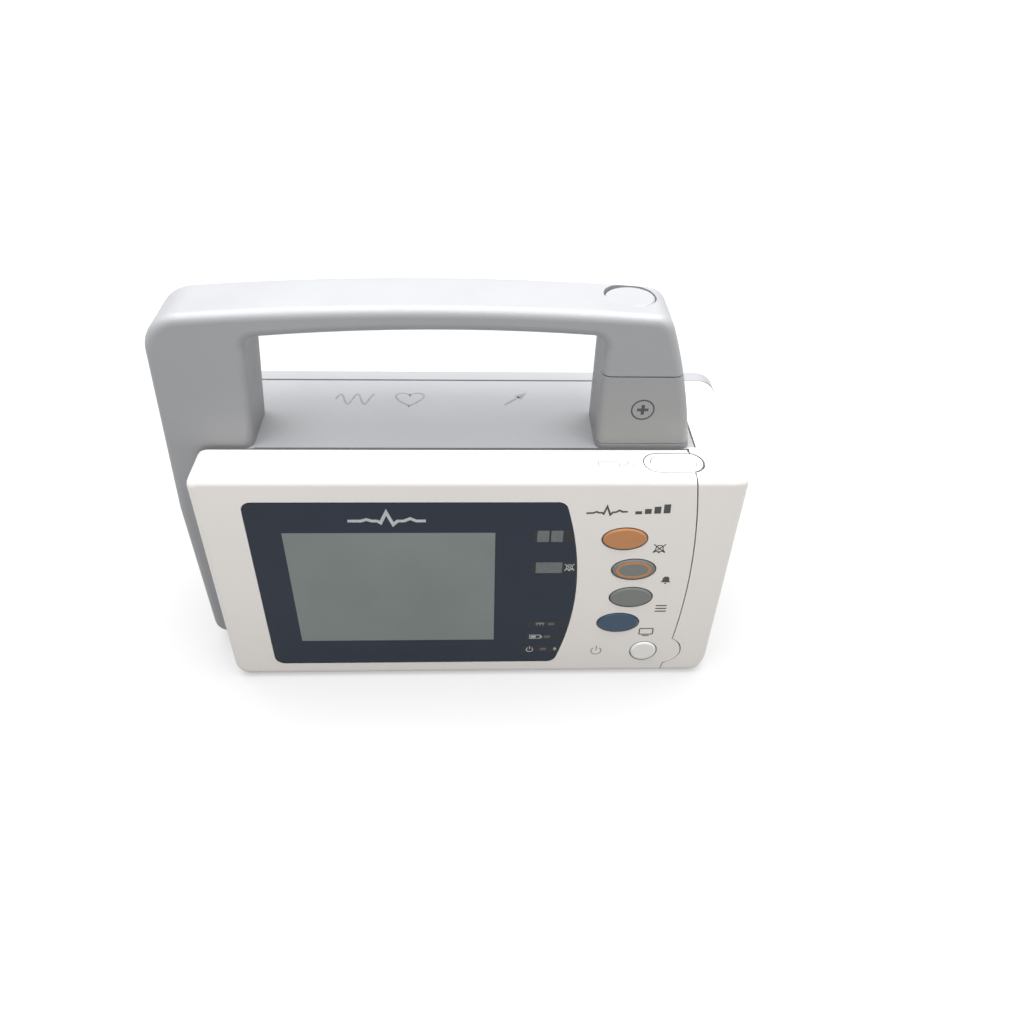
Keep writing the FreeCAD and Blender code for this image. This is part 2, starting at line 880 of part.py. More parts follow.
def make_lenses():
    lamp = new_body("alarm_lamp_lenses")
    lamp.AllowCompound = True
    add(lamp, "front", "body_front + window_thick", "lens_depth", *lamps("slip / 2"))
    led = new_body("status_led_lenses")
    led.AllowCompound = True
    add(led, "front", "body_front + window_thick", "lens_depth", *leds("slip / 2"))
    lights = new_body("board_leds")
    lights.AllowCompound = True
    add(lights, "front", "keypad_front - 1", "1", *lamps("1.2"), *leds("0.3"))


def make_key(key, body):
    add(body, "front", "body_front - key_proud", "bezel_wall + key_proud + 0.2", key_oval(key))
    soften(body, "0.8", y="body_front - key_proud")
    add(body, "front", "flange_front", "key_flange_thick", key_oval(key, "key_flange"))


def ring_oval(key, inward="0"):
    """An oval inside a key's face, drawn in evenly from the ring's outer edge."""
    return ellipse(
        "body_right - %s_inset" % key,
        "body_floor + %s_rise" % key,
        "ring_share * key_wide - 2 * (%s)" % inward,
        "ring_share * key_tall - 2 * (%s)" % inward,
    )


def make_keys():
    for key in KEYS:
        body = new_body("key_" + key)
        make_key(key, body)
        if key == "alarms":
            cut(body, "front", "body_front - key_proud - 1", "ring_deep + 1",
                ring_oval(key), ring_oval(key, "ring_wide"))
    ring = new_body("alarms_key_ring")
    add(ring, "front", "body_front - key_proud", "ring_deep",
        ring_oval("alarms", "0.03"), ring_oval("alarms", "ring_wide - 0.03"))
    power = new_body("key_power")
    add(power, "front", "body_front - key_proud", "bezel_wall + key_proud + 0.2", power_circle())
    soften(power, "0.8", y="body_front - key_proud")
    add(power, "front", "flange_front", "key_flange_thick", power_circle("key_flange"))


def make_keypad():
    """Rubber mat with a dome under each key, and the board behind it."""
    sides = ("body_left + lamp_inset - keypad_margin", "body_floor + keypad_low_rise",
             "body_right - keypad_right_inset", "body_floor + keypad_high_rise")
    mat = new_body("keypad_mat")
    add(mat, "front", "mat_front", "mat_thick",
        rect("body_right - silence_inset - 12", "body_floor + keypad_low_rise", sides[2], sides[3]))
    for key in KEYS + ("power",):
        add(mat, "front", "flange_back + 0.05", "mat_front - flange_back",
            circle("body_right - %s_inset" % key, "body_floor + %s_rise" % key, "dome_radius"))
    board = new_body("keypad_board")
    add(board, "front", "keypad_front", "board_thick", rect(*sides))


# ---- handle and casing ----------------------------------------------------------------------------------

def make_handle_frame():
    body = new_body("handle_frame")
    add(body, "front", "frame_front", "handle_depth", handle_outline(), grip_outline())
    top_left = {"x": ("handle_left", "handle_left + 8"), "z": ("crown - 10", "crown")}
    soften(body, "shoulder_round", along="y", near=top_left)
    top_right = {"x": ("pillar_head - 2", "pillar_head + 2"), "z": ("crown - 8", "crown")}
    soften(body, "head_round", along="y", near=top_right)
    hand_side = {"x": ("grip_left - 2", "grip_right + 2"), "z": ("crown - 15", "crown - 6")}
    soften(body, "grip_corner", along="y", near=hand_side)
    soften(body, "leg_rise", along="y", near={"x": ("handle_left", "handle_left + 3"), "z": ("0", "20")})
    hidden = (("x", "body_left + frame_wall - 0.5"), ("z", "frame_top - frame_wall + 0.5"),
              ("z", "frame_top"), ("z", "body_floor + leg_rise"))
    for plane in ("frame_front", "handle_back"):
        soften(body, "handle_round", y=plane, skip=hidden)
    add(body, "front", "frame_front", "frame_depth",
        rect("body_left", "body_floor", "frame_right", "frame_top"))
    soften(body, "low_round", along="y", x="body_left", z="body_floor")
    cut(body, "front", "frame_front - 1", "frame_depth + 2", rect(
        "body_left + frame_wall", "body_floor + frame_wall",
        "frame_right - frame_wall", "frame_top - frame_wall"))
    cut(body, "front", "frame_front + leg_depth", "frame_depth", rect(
        "handle_left - 1", "body_floor - 1", "body_left", "frame_top - 4"))
    cut(body, "side", "frame_right - frame_wall - 1", "frame_wall + 2", rect(
        "case_front - guide_wall - slip * 2", "case_floor - guide_wall - slip * 2",
        "case_rear + guide_wall + slip * 2", "case_top + guide_wall + slip * 2"))
    cut(body, "side", "body_left - 1", "frame_wall + 2", rect(
        "plate_front", "body_floor + plate_low_rise", "plate_rear", "body_floor + plate_high_rise"))
    cut(body, "front", "frame_front - 1", "panel_depth + 1", rect(
        "grip_right - 4", "frame_top + panel_rise - slip",
        "pillar_foot + 4", "frame_top + panel_rise + panel_height + panel_gap"))
    cut(body, "top", "release_top - release_well", "release_well + 5", release_oval("travel_gap"))
    cut(body, "top", "frame_top - frame_wall - 1", "crown - frame_top",
        circle("release_x", "release_y", "rod_radius + travel_gap"))
    for across, back in FEET[2:]:
        cut(body, "top", "body_floor - 1", "foot_recess + 1", circle(across, back, "foot_radius + slip"))
    return body


def make_pillar_panel():
    body = new_body("pillar_panel")
    add(body, "front", "frame_front", "panel_depth - 0.1", outline(
        ("grip_right", "frame_top"),
        ("pillar_foot", "frame_top", "pillar_radius", "left"),
        ("pillar_head", "crown - head_drop"),
        ("grip_right", "crown - head_drop"),
    ))
    for side in ("grip_right", "pillar_foot"):
        reach = {"x": ("%s - 8" % side, "%s + 3" % side), "z": ("frame_top + 5", "crown - 5")}
        soften(body, "handle_round", y="frame_front", near=reach)
    for low, high in (("frame_top - 5", "frame_top + panel_rise"),
                      ("frame_top + panel_rise + panel_height", "crown + 5")):
        beyond = rect("grip_right - 5", low, "pillar_foot + 5", high)
        cut(body, "front", "frame_front - 1", "panel_depth + 2", beyond)
    return body


def make_body_gasket():
    """Dark strip round the joint between the bezel and the frame, a little inside both."""
    body = new_body("body_gasket")
    add(body, "front", "bezel_back", "gasket_gap", rect(
        "body_left + 1.1", "body_floor + 1.1", "frame_right - 3.2", "frame_top - 0.6"), rect(
        "body_left + 2.5", "body_floor + 2.5", "frame_right - 4.2", "frame_top - 2.4"))
    soften(body, "low_round - 2.5", along="y", x="body_left + 2.5", z="body_floor + 2.5")
    soften(body, "low_round - 1.1", along="y", x="body_left + 1.1", z="body_floor + 1.1")
    soften(body, "corner_round - 2.4", along="y", x="body_left + 2.5", z="frame_top - 2.4")
    soften(body, "corner_round - 1.1", along="y", x="body_left + 1.1", z="frame_top - 0.6")
    return body


def make_rear_cover():
    body = new_body("rear_cover")
    add(body, "front", "frame_back", "cover_depth", shell_outline("0"))
    soften(body, "end_round - 0.5", along="y", x="body_right")
    round_left_corners(body)
    soften(body, "cover_edge_round", y="body_back", z="body_top")
    cut(body, "front", "frame_back - 1", "cover_depth - cover_wall + 1", shell_outline("cover_wall"))
    soften(body, "end_round - cover_wall", along="y", x="body_right - cover_wall")
    cut(body, "front", "body_back - cover_wall - 1", "cover_wall + 2", dock_hollow())
    for across, up in SCREWS:
        add(body, "front", "frame_back", "cover_depth - 1", circle(across, up, "screw_boss_radius + 1"))
        cut(body, "front", "frame_back - 1", "cover_depth + 2", circle(across, up, "screw_radius + 0.35"))
        cut(body, "front", "body_back - screw_head_thick - 0.4", "screw_head_thick + 1",
            circle(across, up, "screw_head_radius + 0.3"))
    return body


def make_dock_block():
    """Hollow block behind the cover, with a groove down each side for the host's rails."""
    body = new_body("dock_block")
    whole = rect("dock_left", "dock_floor", "dock_right", "dock_top")
    add(body, "front", "body_back", "dock_back - body_back", whole)
    soften(body, "dock_round", along="y")
    soften(body, "1.5", y="dock_back")
    cut(body, "front", "body_back - 1", "dock_back - body_back - cover_wall + 1", dock_hollow())
    rail_back = "dock_back - rail_back_inset"
    for left, right in (("dock_left - 1", "dock_left + rail_depth"),
                        ("dock_right - rail_depth", "dock_right + 1")):
        cut(body, "top", "dock_floor - 1", "dock_top - dock_floor + 2",
            rect(left, rail_back + " - rail_height", right, rail_back))
    middle = "(dock_left + dock_right) / 2"
    cut(body, "front", "dock_back - cover_wall - 1", "cover_wall + 2",
        around(middle, "body_floor + dock_plug_rise",
               "dock_plug_wide + 2 * slip", "dock_plug_tall + 2 * slip"))
    grille = [slot("dock_left + 30", "dock_top - 16 - 3.6 * %d" % row, "22", "1.6") for row in range(6)]
    cut(body, "front", "dock_back - cover_wall - 1", "cover_wall + 2", *grille)
    cut(body, "front", "dock_back - cover_wall - 1", "cover_wall + 2",
        around("release_x", "body_floor + pawl_rise - 4", "12", "14"))
    vents = [
        around(middle + " - 27 + 9 * %d" % row, "(body_back + dock_back) / 2", "2", "9")
        for row in range(7)
    ]
    cut(body, "top", "dock_top - cover_wall - 1", "cover_wall + 2", *vents)
    return body


def make_screws():
    items = []
    for number, (across, up) in enumerate(SCREWS, start=1):
        start = "bezel_back - screw_bite + 0.5"
        head = "body_back - screw_head_thick - 0.4"
        shank_length = "%s - (%s)" % (head, start)
        shank = rod("screw_shank_%d" % number, "y", across, start, up, "screw_radius", shank_length)
        cap = rod("screw_cap_%d" % number, "y", across, head, up, "screw_head_radius", "screw_head_thick")
        recess = rod("screw_recess_%d" % number, "y", across, head + " + screw_head_thick / 2", up,
                     "screw_head_radius / 2.4", "screw_head_thick")
        items.append(without("screw_%d" % number, joined("screw_solid_%d" % number, [shank, cap]), [recess]))
    group("case_screws", items)


def make_feet():
    feet = [rod("foot_%d" % number, "z", across, back, "0", "foot_radius", "foot_height + foot_recess")
            for number, (across, back) in enumerate(FEET, start=1)]
    group("feet", feet)


# ---- docking release ------------------------------------------------------------------------------------

def make_release():
    button = new_body("release_button")
    add(button, "top", "release_top - release_thick", "release_thick", release_oval())
    soften(button, "0.9", z="release_top")
    cut(button, "top", "release_top - release_thick - 1", "release_thick - 2", release_oval("-release_wall"),
        circle("release_x", "release_y", "rod_radius + 1.4"))
    link = new_body("release_link")
    well_floor = "release_top - release_well"
    add(link, "top", "link_floor", "release_top - release_thick - link_floor",
        circle("release_x", "release_y", "rod_radius"))
    low = "body_floor + pawl_rise - pawl_tall"
    add(link, "side", "release_x - link_wide / 2", "link_wide", outline(
        ("release_y - link_wide", "link_floor"),
        ("link_back - 2.5", "link_floor"),
        ("link_back - 2.5", low),
        ("link_back", low),
        ("link_back", "link_top"),
        ("release_y - link_wide", "link_top"),
    ))
    spring_height = "(release_top - release_thick) - (%s)" % well_floor
    coil("release_spring", "release_x", "release_y", well_floor, "4.6", "0.45", spring_height, 4)
    pawl = new_body("dock_pawl")
    back = "dock_back - cover_wall - 0.6"
    add(pawl, "side", "release_x - 4", "8", outline(
        ("link_back", low),
        (back, low),
        (back, "body_floor + pawl_rise - 2"),
        (back + " - 3", "body_floor + pawl_rise"),
        ("link_back", "body_floor + pawl_rise"),
    ))


def make_dock_fittings():
    rail_back = "dock_back - rail_back_inset"
    strips = []
    left_wall = "dock_left + rail_depth"
    right_wall = "dock_right - rail_depth"
    for name, across in (("left", (left_wall + " - rail_strip_thick", left_wall)),
                         ("right", (right_wall, right_wall + " + rail_strip_thick"))):
        strips.append(block(
            "rail_strip_" + name,
            across,
            (rail_back + " - rail_height + slip", rail_back + " - slip"),
            ("dock_floor + 2", "dock_top - 2"),
        ))
    group("rail_strips", strips)
    plug = new_body("dock_connector")
    middle = "(dock_left + dock_right) / 2"
    up = "body_floor + dock_plug_rise"
    back = "dock_back - 0.6"
    add(plug, "front", back + " - 9", "9", around(middle, up, "dock_plug_wide", "dock_plug_tall"))
    cut(plug, "front", back + " - 6", "7", around(middle, up, "dock_plug_wide - 4", "dock_plug_tall - 4"))
    add(plug, "front", back + " - 6", "4.5", around(middle, up, "dock_plug_wide - 8", "1.6"))
    contacts = []
    for row, shift in enumerate(("- 1.0", "+ 0.8")):
        for column in range(8):
            left = "%s - 11.2 + 3 * %d" % (middle, column)
            contacts.append(block("dock_contact_%d_%d" % (row, column), (left, left + " + 1.2"),
                                  (back + " - 6", back + " - 2"), (up + shift, up + shift + " + 0.2")))
    group("dock_contacts", contacts)


# ---- battery end ----------------------------------------------------------------------------------------

def make_battery_cap():
    body = new_body("battery_cap")
    rounded_shell(body, "frame_back - travel_gap - body_front")
    cut(body, "front", "body_front - 1", "frame_front - body_front + 1", outline(
        ("body_left - 1", "body_floor - 1"),
        ("body_right - seam_inset + seam_gap", "body_floor - 1", "seam_radius", "left"),
        ("body_right - seam_inset + seam_gap", "body_top + 1"),
        ("body_left - 1", "body_top + 1"),
    ))
    cut(body, "front", "body_front - 1", "frame_back - body_front + 2", rect(
        "body_left - 1", "body_floor - 1", "frame_right - 5", "body_top + 1"))
    cut(body, "front", "frame_front", "frame_back - frame_front + 1", rect(
        "body_left - 1", "body_floor - 1", "frame_right + seam_gap", "body_top + 1"))
    for start, end, wall in (("frame_right - 10", "body_right - end_round", "cap_wall"),
                             ("body_right - end_round - 1", "body_right - cap_wall", "cap_end_wall")):
        cut(body, "side", start, "%s - (%s)" % (end, start), rect(
            "body_front + %s" % wall, "body_floor + %s" % wall,
            "frame_back - travel_gap - %s" % wall, "body_top - %s" % wall))
    bulge = power_circle("power_bulge - power_radius + seam_gap", "power_bulge_shift")
    cut(body, "front", "body_front - 1", "cap_wall + 2", bulge)
    cut(body, "top", "body_top - cap_wall - 1", "cap_wall + 2", eject_boss("seam_gap"))
    return body


CONTACT_ROWS = range(5)


def make_battery():
    case = new_body("battery_case")
    add(case, "side", "case_left", "case_right - case_left",
        rect("case_front", "case_floor", "case_rear", "case_top"))
    soften(case, "1.5", along="x", near={"z": ("body_floor", "body_top")})
    cut(case, "side", "case_left + 2.5", "cell_count * cell_pitch + 0.6", rect(
        "case_front + case_wall", "case_floor + case_wall", "case_rear - case_wall", "case_top - case_wall"))
    add(case, "side", "flange_left", "flange_thick", rect(
        "wall_back + 0.2 + cap_wall - bezel_wall + 0.3", "body_floor + cap_wall + 0.15",
        "frame_back - travel_gap - cap_wall - 0.15", "body_top - cap_wall - 0.15"))
    tooth = "body_top - boss_depth - latch_thick - hook_height - 0.4"
    add(case, "front", "eject_y - latch_wide / 2 + 0.3", "latch_wide - 0.6", outline(
        ("flange_left + 0.4", tooth + " - 2.2"),
        ("flange_left + 0.4", tooth),
        ("flange_left - 2.1", tooth),
        ("flange_left - 2.1", tooth + " + hook_height - 0.2"),
        ("flange_left - 3.7", tooth + " + hook_height - 0.8"),
        ("flange_left - 3.7", tooth + " - 2.2"),
    ))
    cell_floor = "case_floor + (case_height - cell_length) / 2"
    cells = []
    for number in range(int(SIZES["cell_count"])):
        across = "case_left + 2.8 + (%d + 0.5) * cell_pitch" % number
        cells.append(rod("cell_%d" % number, "z", across, "(case_front + case_rear) / 2", cell_floor,
                         "cell_radius", "cell_length"))
    group("battery_cells", cells)
    pads = []
    for number in CONTACT_ROWS:
        low = "case_floor + 18 + contact_pitch * %d" % number
        pads.append(block("battery_pad_%d" % number, ("case_left - 0.15", "case_left"),
                          ("case_front + 5", "case_rear - 5"), (low, low + " + 5")))
    group("battery_contacts", pads)
    guide = new_body("battery_guide")
    gap = "slip * 1.5"
    outer = "guide_wall + " + gap
    add(guide, "side", "case_left - 5 - guide_wall", "frame_right - case_left + 5 + guide_wall - 0.2", rect(
        "case_front - (%s)" % outer, "case_floor - (%s)" % outer,
        "case_rear + %s" % outer, "case_top + %s" % outer))
    cut(guide, "side", "case_left - 5", "frame_right - case_left + 6", rect(
        "case_front - " + gap, "case_floor - " + gap, "case_rear + " + gap, "case_top + " + gap))
    socket = [block("battery_socket_base", ("case_left - 5", "case_left - 2"),
                    ("case_front + 3", "case_rear - 3"), ("case_floor + 14", "case_floor + 64"))]
    for number in CONTACT_ROWS:
        low = "case_floor + 19.5 + contact_pitch * %d" % number
        socket.append(block("battery_finger_%d" % number, ("case_left - 2.5", "case_left - 0.5"),
                            ("case_front + 6", "case_rear - 6"), (low, low + " + 2")))
    piece(joined("battery_socket", socket))


def make_eject():
    button = new_body("eject_button")
    top = "body_top + eject_proud"
    add(button, "top", top + " - eject_thick", "eject_thick", eject_oval())
    soften(button, "0.7", z=top)
    leaf = "body_top - boss_depth - latch_thick - 0.6"
    stem_floor = leaf + " + latch_thick + slip"
    add(button, "top", stem_floor, "%s - eject_thick + 0.5 - (%s)" % (top, stem_floor),
        circle("eject_x", "eject_y", "stem_radius"))
    well = "body_top - boss_depth + boss_floor"
    spring_height = "%s - eject_thick - (%s)" % (top, well)
    coil("eject_spring", "eject_x", "eject_y", well, "2.6", "0.35", spring_height, 3)
    latch = new_body("battery_latch")
    hook = "flange_left - 0.2"
    add(latch, "front", "eject_y - latch_wide / 2", "latch_wide", outline(
        ("eject_x - 11.5", leaf),
        (hook + " - 1.6", leaf),
        (hook + " - 1.6", leaf + " - hook_height + 0.6"),
        (hook, leaf + " - hook_height + 0.6"),
        (hook, leaf + " + latch_thick"),
        ("eject_x - 11.5", leaf + " + latch_thick"),
    ))


# ---- patient connectors ---------------------------------------------------------------------------------

ROUND_SOCKETS = ("pressure", "temp", "ecg")


def make_connectors():
    plate = new_body("connector_plate")
    add(plate, "side", "body_left - 0.2", "plate_thick", rect(
        "plate_front + slip / 2", "body_floor + plate_low_rise + slip / 2",
        "plate_rear - slip / 2", "body_floor + plate_high_rise - slip / 2"))
    holes = [circle("socket_y", "body_floor + %s_rise" % name, "%s_radius + 0.05" % name)
             for name in ROUND_SOCKETS + ("cuff",)]
    jack_y = "socket_y + jack_shift"
    jack_z = "body_floor + cuff_rise + 1.5"
    holes.append(around("socket_y", "body_floor + spo2_rise", "spo2_wide + 0.1", "spo2_tall + 0.1"))
    holes.append(circle(jack_y, jack_z, "jack_radius + 0.05"))
    cut(plate, "side", "body_left - 1", "plate_thick + 2", *holes)
    start = "body_left - socket_proud"
    pin_start = "body_left + socket_depth - socket_floor - pin_length"
    pins = []
    for name in ROUND_SOCKETS:
        socket = new_body(name + "_socket")
        up = "body_floor + %s_rise" % name
        add(socket, "side", start, "socket_depth + socket_proud", circle("socket_y", up, name + "_radius"))
        soften(socket, "0.7", x=start)
        cut(socket, "side", start + " - 1", "socket_depth + socket_proud - socket_floor + 1",
            circle("socket_y", up, "%s_radius - socket_wall" % name))
        for number in range(5):
            angle = 72 * number + 18
            reach = "(%s_radius - socket_wall) * 0.5" % name
            pins.append(rod("%s_pin_%d" % (name, number), "x", pin_start,
                            "socket_y + %s * %.4f" % (reach, math.cos(math.radians(angle))),
                            "%s + %s * %.4f" % (up, reach, math.sin(math.radians(angle))),
                            "pin_radius", "pin_length"))
    spo2 = new_body("spo2_socket")
    up = "body_floor + spo2_rise"
    add(spo2, "side", start, "socket_depth + socket_proud", around("socket_y", up, "spo2_wide", "spo2_tall"))
    soften(spo2, "2", along="x")
    soften(spo2, "0.7", x=start)
    cut(spo2, "side", start + " - 1", "socket_depth + socket_proud - socket_floor + 1",
        around("socket_y", up, "spo2_wide - 2 * socket_wall", "spo2_tall - 2 * socket_wall"))
    for row in (-1, 1):
        for column in range(4):
            pins.append(rod("spo2_pin_%d_%d" % (row, column), "x", pin_start,
                            "socket_y - 4.5 + 3 * %d" % column, "%s + 1.6 * %d" % (up, row),
                            "pin_radius", "pin_length"))
    group("socket_pins", pins)
    cuff = new_body("cuff_port")
    up = "body_floor + cuff_rise"
    add(cuff, "side", start, "socket_depth + socket_proud",
        circle("socket_y", up, "cuff_radius"), circle("socket_y", up, "cuff_bore"))
    soften(cuff, "0.7", x=start, near={"y": ("socket_y - 1", "socket_y + 1")})
    jack = new_body("sync_jack")
    add(jack, "side", "body_left - 0.7", "socket_depth", circle(jack_y, jack_z, "jack_radius"))
    cut(jack, "side", "body_left - 1", "socket_depth - 1.7", circle(jack_y, jack_z, "jack_bore"))


# ---- inside ---------------------------------------------------------------------------------------------

def make_boards():
    inner = ("body_left + frame_wall + 0.2", "body_floor + frame_wall + 0.2",
             "frame_right - frame_wall - 0.2", "frame_top - frame_wall - 0.2")
    chassis = new_body("chassis_plate")
    add(chassis, "front", "chassis_front", "chassis_thick", rect(*inner))
    cut(chassis, "front", "chassis_front - 1", "chassis_thick + 2",
        *[circle(across, up, "screw_radius + 0.6") for across, up in SCREWS])
    board = new_body("main_board")
    low, high = "body_floor + main_board_inset", "body_top - main_board_inset"
    left, right = "body_left + main_board_inset", "frame_right - main_board_inset"
    add(board, "front", "main_board_front", "board_thick", rect(left, low, right, high))
    spots = [(across, up) for across in (left + " + 5", right + " - 5")
             for up in (low + " + 5", high + " - 5")]
    cut(board, "front", "main_board_front - 1", "board_thick + 2",
        *[circle(across, up, "standoff_radius / 2") for across, up in spots])
    standoffs = []
    for number, (across, up) in enumerate(spots):
        standoffs.append(rod("standoff_%d" % number, "y", across, "main_board_rear", up,
                             "standoff_radius", "standoff_height"))
    group("board_standoffs", standoffs)
    can = new_body("board_shield")
    sides = ("screen_x - 28", "screen_z - 24", "screen_x + 34", "screen_z + 24")
    add(can, "front", "main_board_front - shield_height", "shield_height", rect(*sides))
    soften(can, "1", y="main_board_front - shield_height")
    cut(can, "front", "main_board_front - shield_height + shield_wall", "shield_height",
        rect(sides[0] + " + shield_wall", sides[1] + " + shield_wall",
             sides[2] + " - shield_wall", sides[3] + " - shield_wall"))
    measure = new_body("measurement_board")
    add(measure, "front", "measure_front", "board_thick", rect(
        "body_left + main_board_inset", "body_floor + main_board_inset - 4",
        "case_left - 10", "body_top - main_board_inset"))


def make_pump():
    """Cuff pump with its head, the valves and the air tubes, in the space left of the battery."""
    left = "body_left + 24"
    head = "%s + pump_length" % left
    piece(rod("cuff_pump", "x", left, "pump_y", "pump_z", "pump_radius", "pump_length"))
    head_block = block("pump_head", (head, head + " + pump_head_length"),
                       ("pump_y - pump_radius", "pump_y + pump_radius"),
                       ("pump_z - pump_radius - 1", "pump_z + pump_radius + 1"))
    piece(head_block)
    valve_z = "body_floor + cuff_rise"
    valve_left = "body_left + socket_depth + 12"
    valve_right = head + " + pump_head_length"
    block_low, block_high = valve_z + " - 5", valve_z + " + 5"
    piece(block("valve_block", (valve_left, valve_right), ("socket_y - 6", "socket_y + 6"),
                (block_low, block_high)))
    valves = []
    for number in range(3):
        across = valve_left + " + 14 + 16 * %d" % number
        valves.append(rod("bleed_valve_%d" % number, "z", across, "socket_y", block_high,
                          "valve_radius", "valve_length"))
    group("bleed_valves", valves)
    group("air_tubes", [
        rod("cuff_tube", "x", "body_left + socket_depth", "socket_y", valve_z, "tube_radius", "12"),
        rod("pump_tube", "z", head + " + pump_head_length / 2", "socket_y", "pump_z + pump_radius + 1",
            "tube_radius",
            "(%s) - (pump_z + pump_radius + 1)" % block_low),
    ])


def make_speaker():
    cone = new_body("speaker")
    back = "dock_back - cover_wall"
    across, up = "dock_left + 30", "dock_top - 25"
    add(cone, "front", back + " - speaker_thick", "speaker_thick", circle(across, up, "speaker_radius"))
    cut(cone, "front", back + " - 1.5", "3", circle(across, up, "speaker_radius - 2"))
    add(cone, "front", back + " - speaker_thick - 4", "4.1", circle(across, up, "speaker_radius * 0.6"))


def check_and_write():
    doc.recompute()
    for item in doc.Objects:
        for state in item.State:
            if state in ("Invalid", "Error"):
                raise RuntimeError("%s is %s" % (item.Label, state))
    os.makedirs("parts", exist_ok=True)
    for item in pieces:
        if item.Shape.isNull() or not item.Shape.isValid():
            raise RuntimeError("%s has no valid shape" % item.Label)
        item.Shape.exportStep(os.path.join("parts", item.Label + ".step"))


make_front_bezel()
make_window()
make_display()
make_lenses()
make_keys()
make_keypad()
make_handle_frame()
make_pillar_panel()
make_body_gasket()
make_rear_cover()
make_dock_block()
make_screws()
make_feet()
make_release()
make_dock_fittings()
make_battery_cap()
make_battery()
make_eject()
make_connectors()
make_boards()
make_pump()
make_speaker()
check_and_write()
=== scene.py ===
import json
import math

import bmesh
import bpy
from mathutils import Matrix, Vector


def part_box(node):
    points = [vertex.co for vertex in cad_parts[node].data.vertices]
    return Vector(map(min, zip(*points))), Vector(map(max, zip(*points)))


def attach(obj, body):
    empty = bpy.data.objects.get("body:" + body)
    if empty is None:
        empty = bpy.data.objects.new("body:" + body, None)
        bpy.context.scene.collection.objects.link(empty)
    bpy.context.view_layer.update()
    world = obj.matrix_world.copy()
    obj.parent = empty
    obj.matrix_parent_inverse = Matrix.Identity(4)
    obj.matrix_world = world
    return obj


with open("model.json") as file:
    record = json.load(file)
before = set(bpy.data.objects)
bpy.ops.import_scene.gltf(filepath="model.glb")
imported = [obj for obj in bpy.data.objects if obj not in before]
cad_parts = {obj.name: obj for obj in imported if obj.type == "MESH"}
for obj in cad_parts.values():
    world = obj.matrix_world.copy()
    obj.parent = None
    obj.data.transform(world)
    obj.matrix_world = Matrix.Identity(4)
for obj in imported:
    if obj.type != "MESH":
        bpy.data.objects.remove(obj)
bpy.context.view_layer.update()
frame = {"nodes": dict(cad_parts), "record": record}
MM = 0.001

nodes = frame["nodes"]
scene = bpy.context.scene
scene.view_settings.view_transform = "Standard"

# Places read from the frame.
BEZEL_LOW, BEZEL_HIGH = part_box("front_bezel")
FRAME_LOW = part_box("handle_frame")[0]
LCD_LOW, LCD_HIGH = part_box("lcd_panel")
PANEL_LOW, PANEL_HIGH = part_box("pillar_panel")
FACE = BEZEL_LOW.y
TOP = BEZEL_HIGH.z
DECK_DROP = 0.5
DECK = TOP - DECK_DROP * MM


# ---- node materials -------------------------------------------------------------------------------------

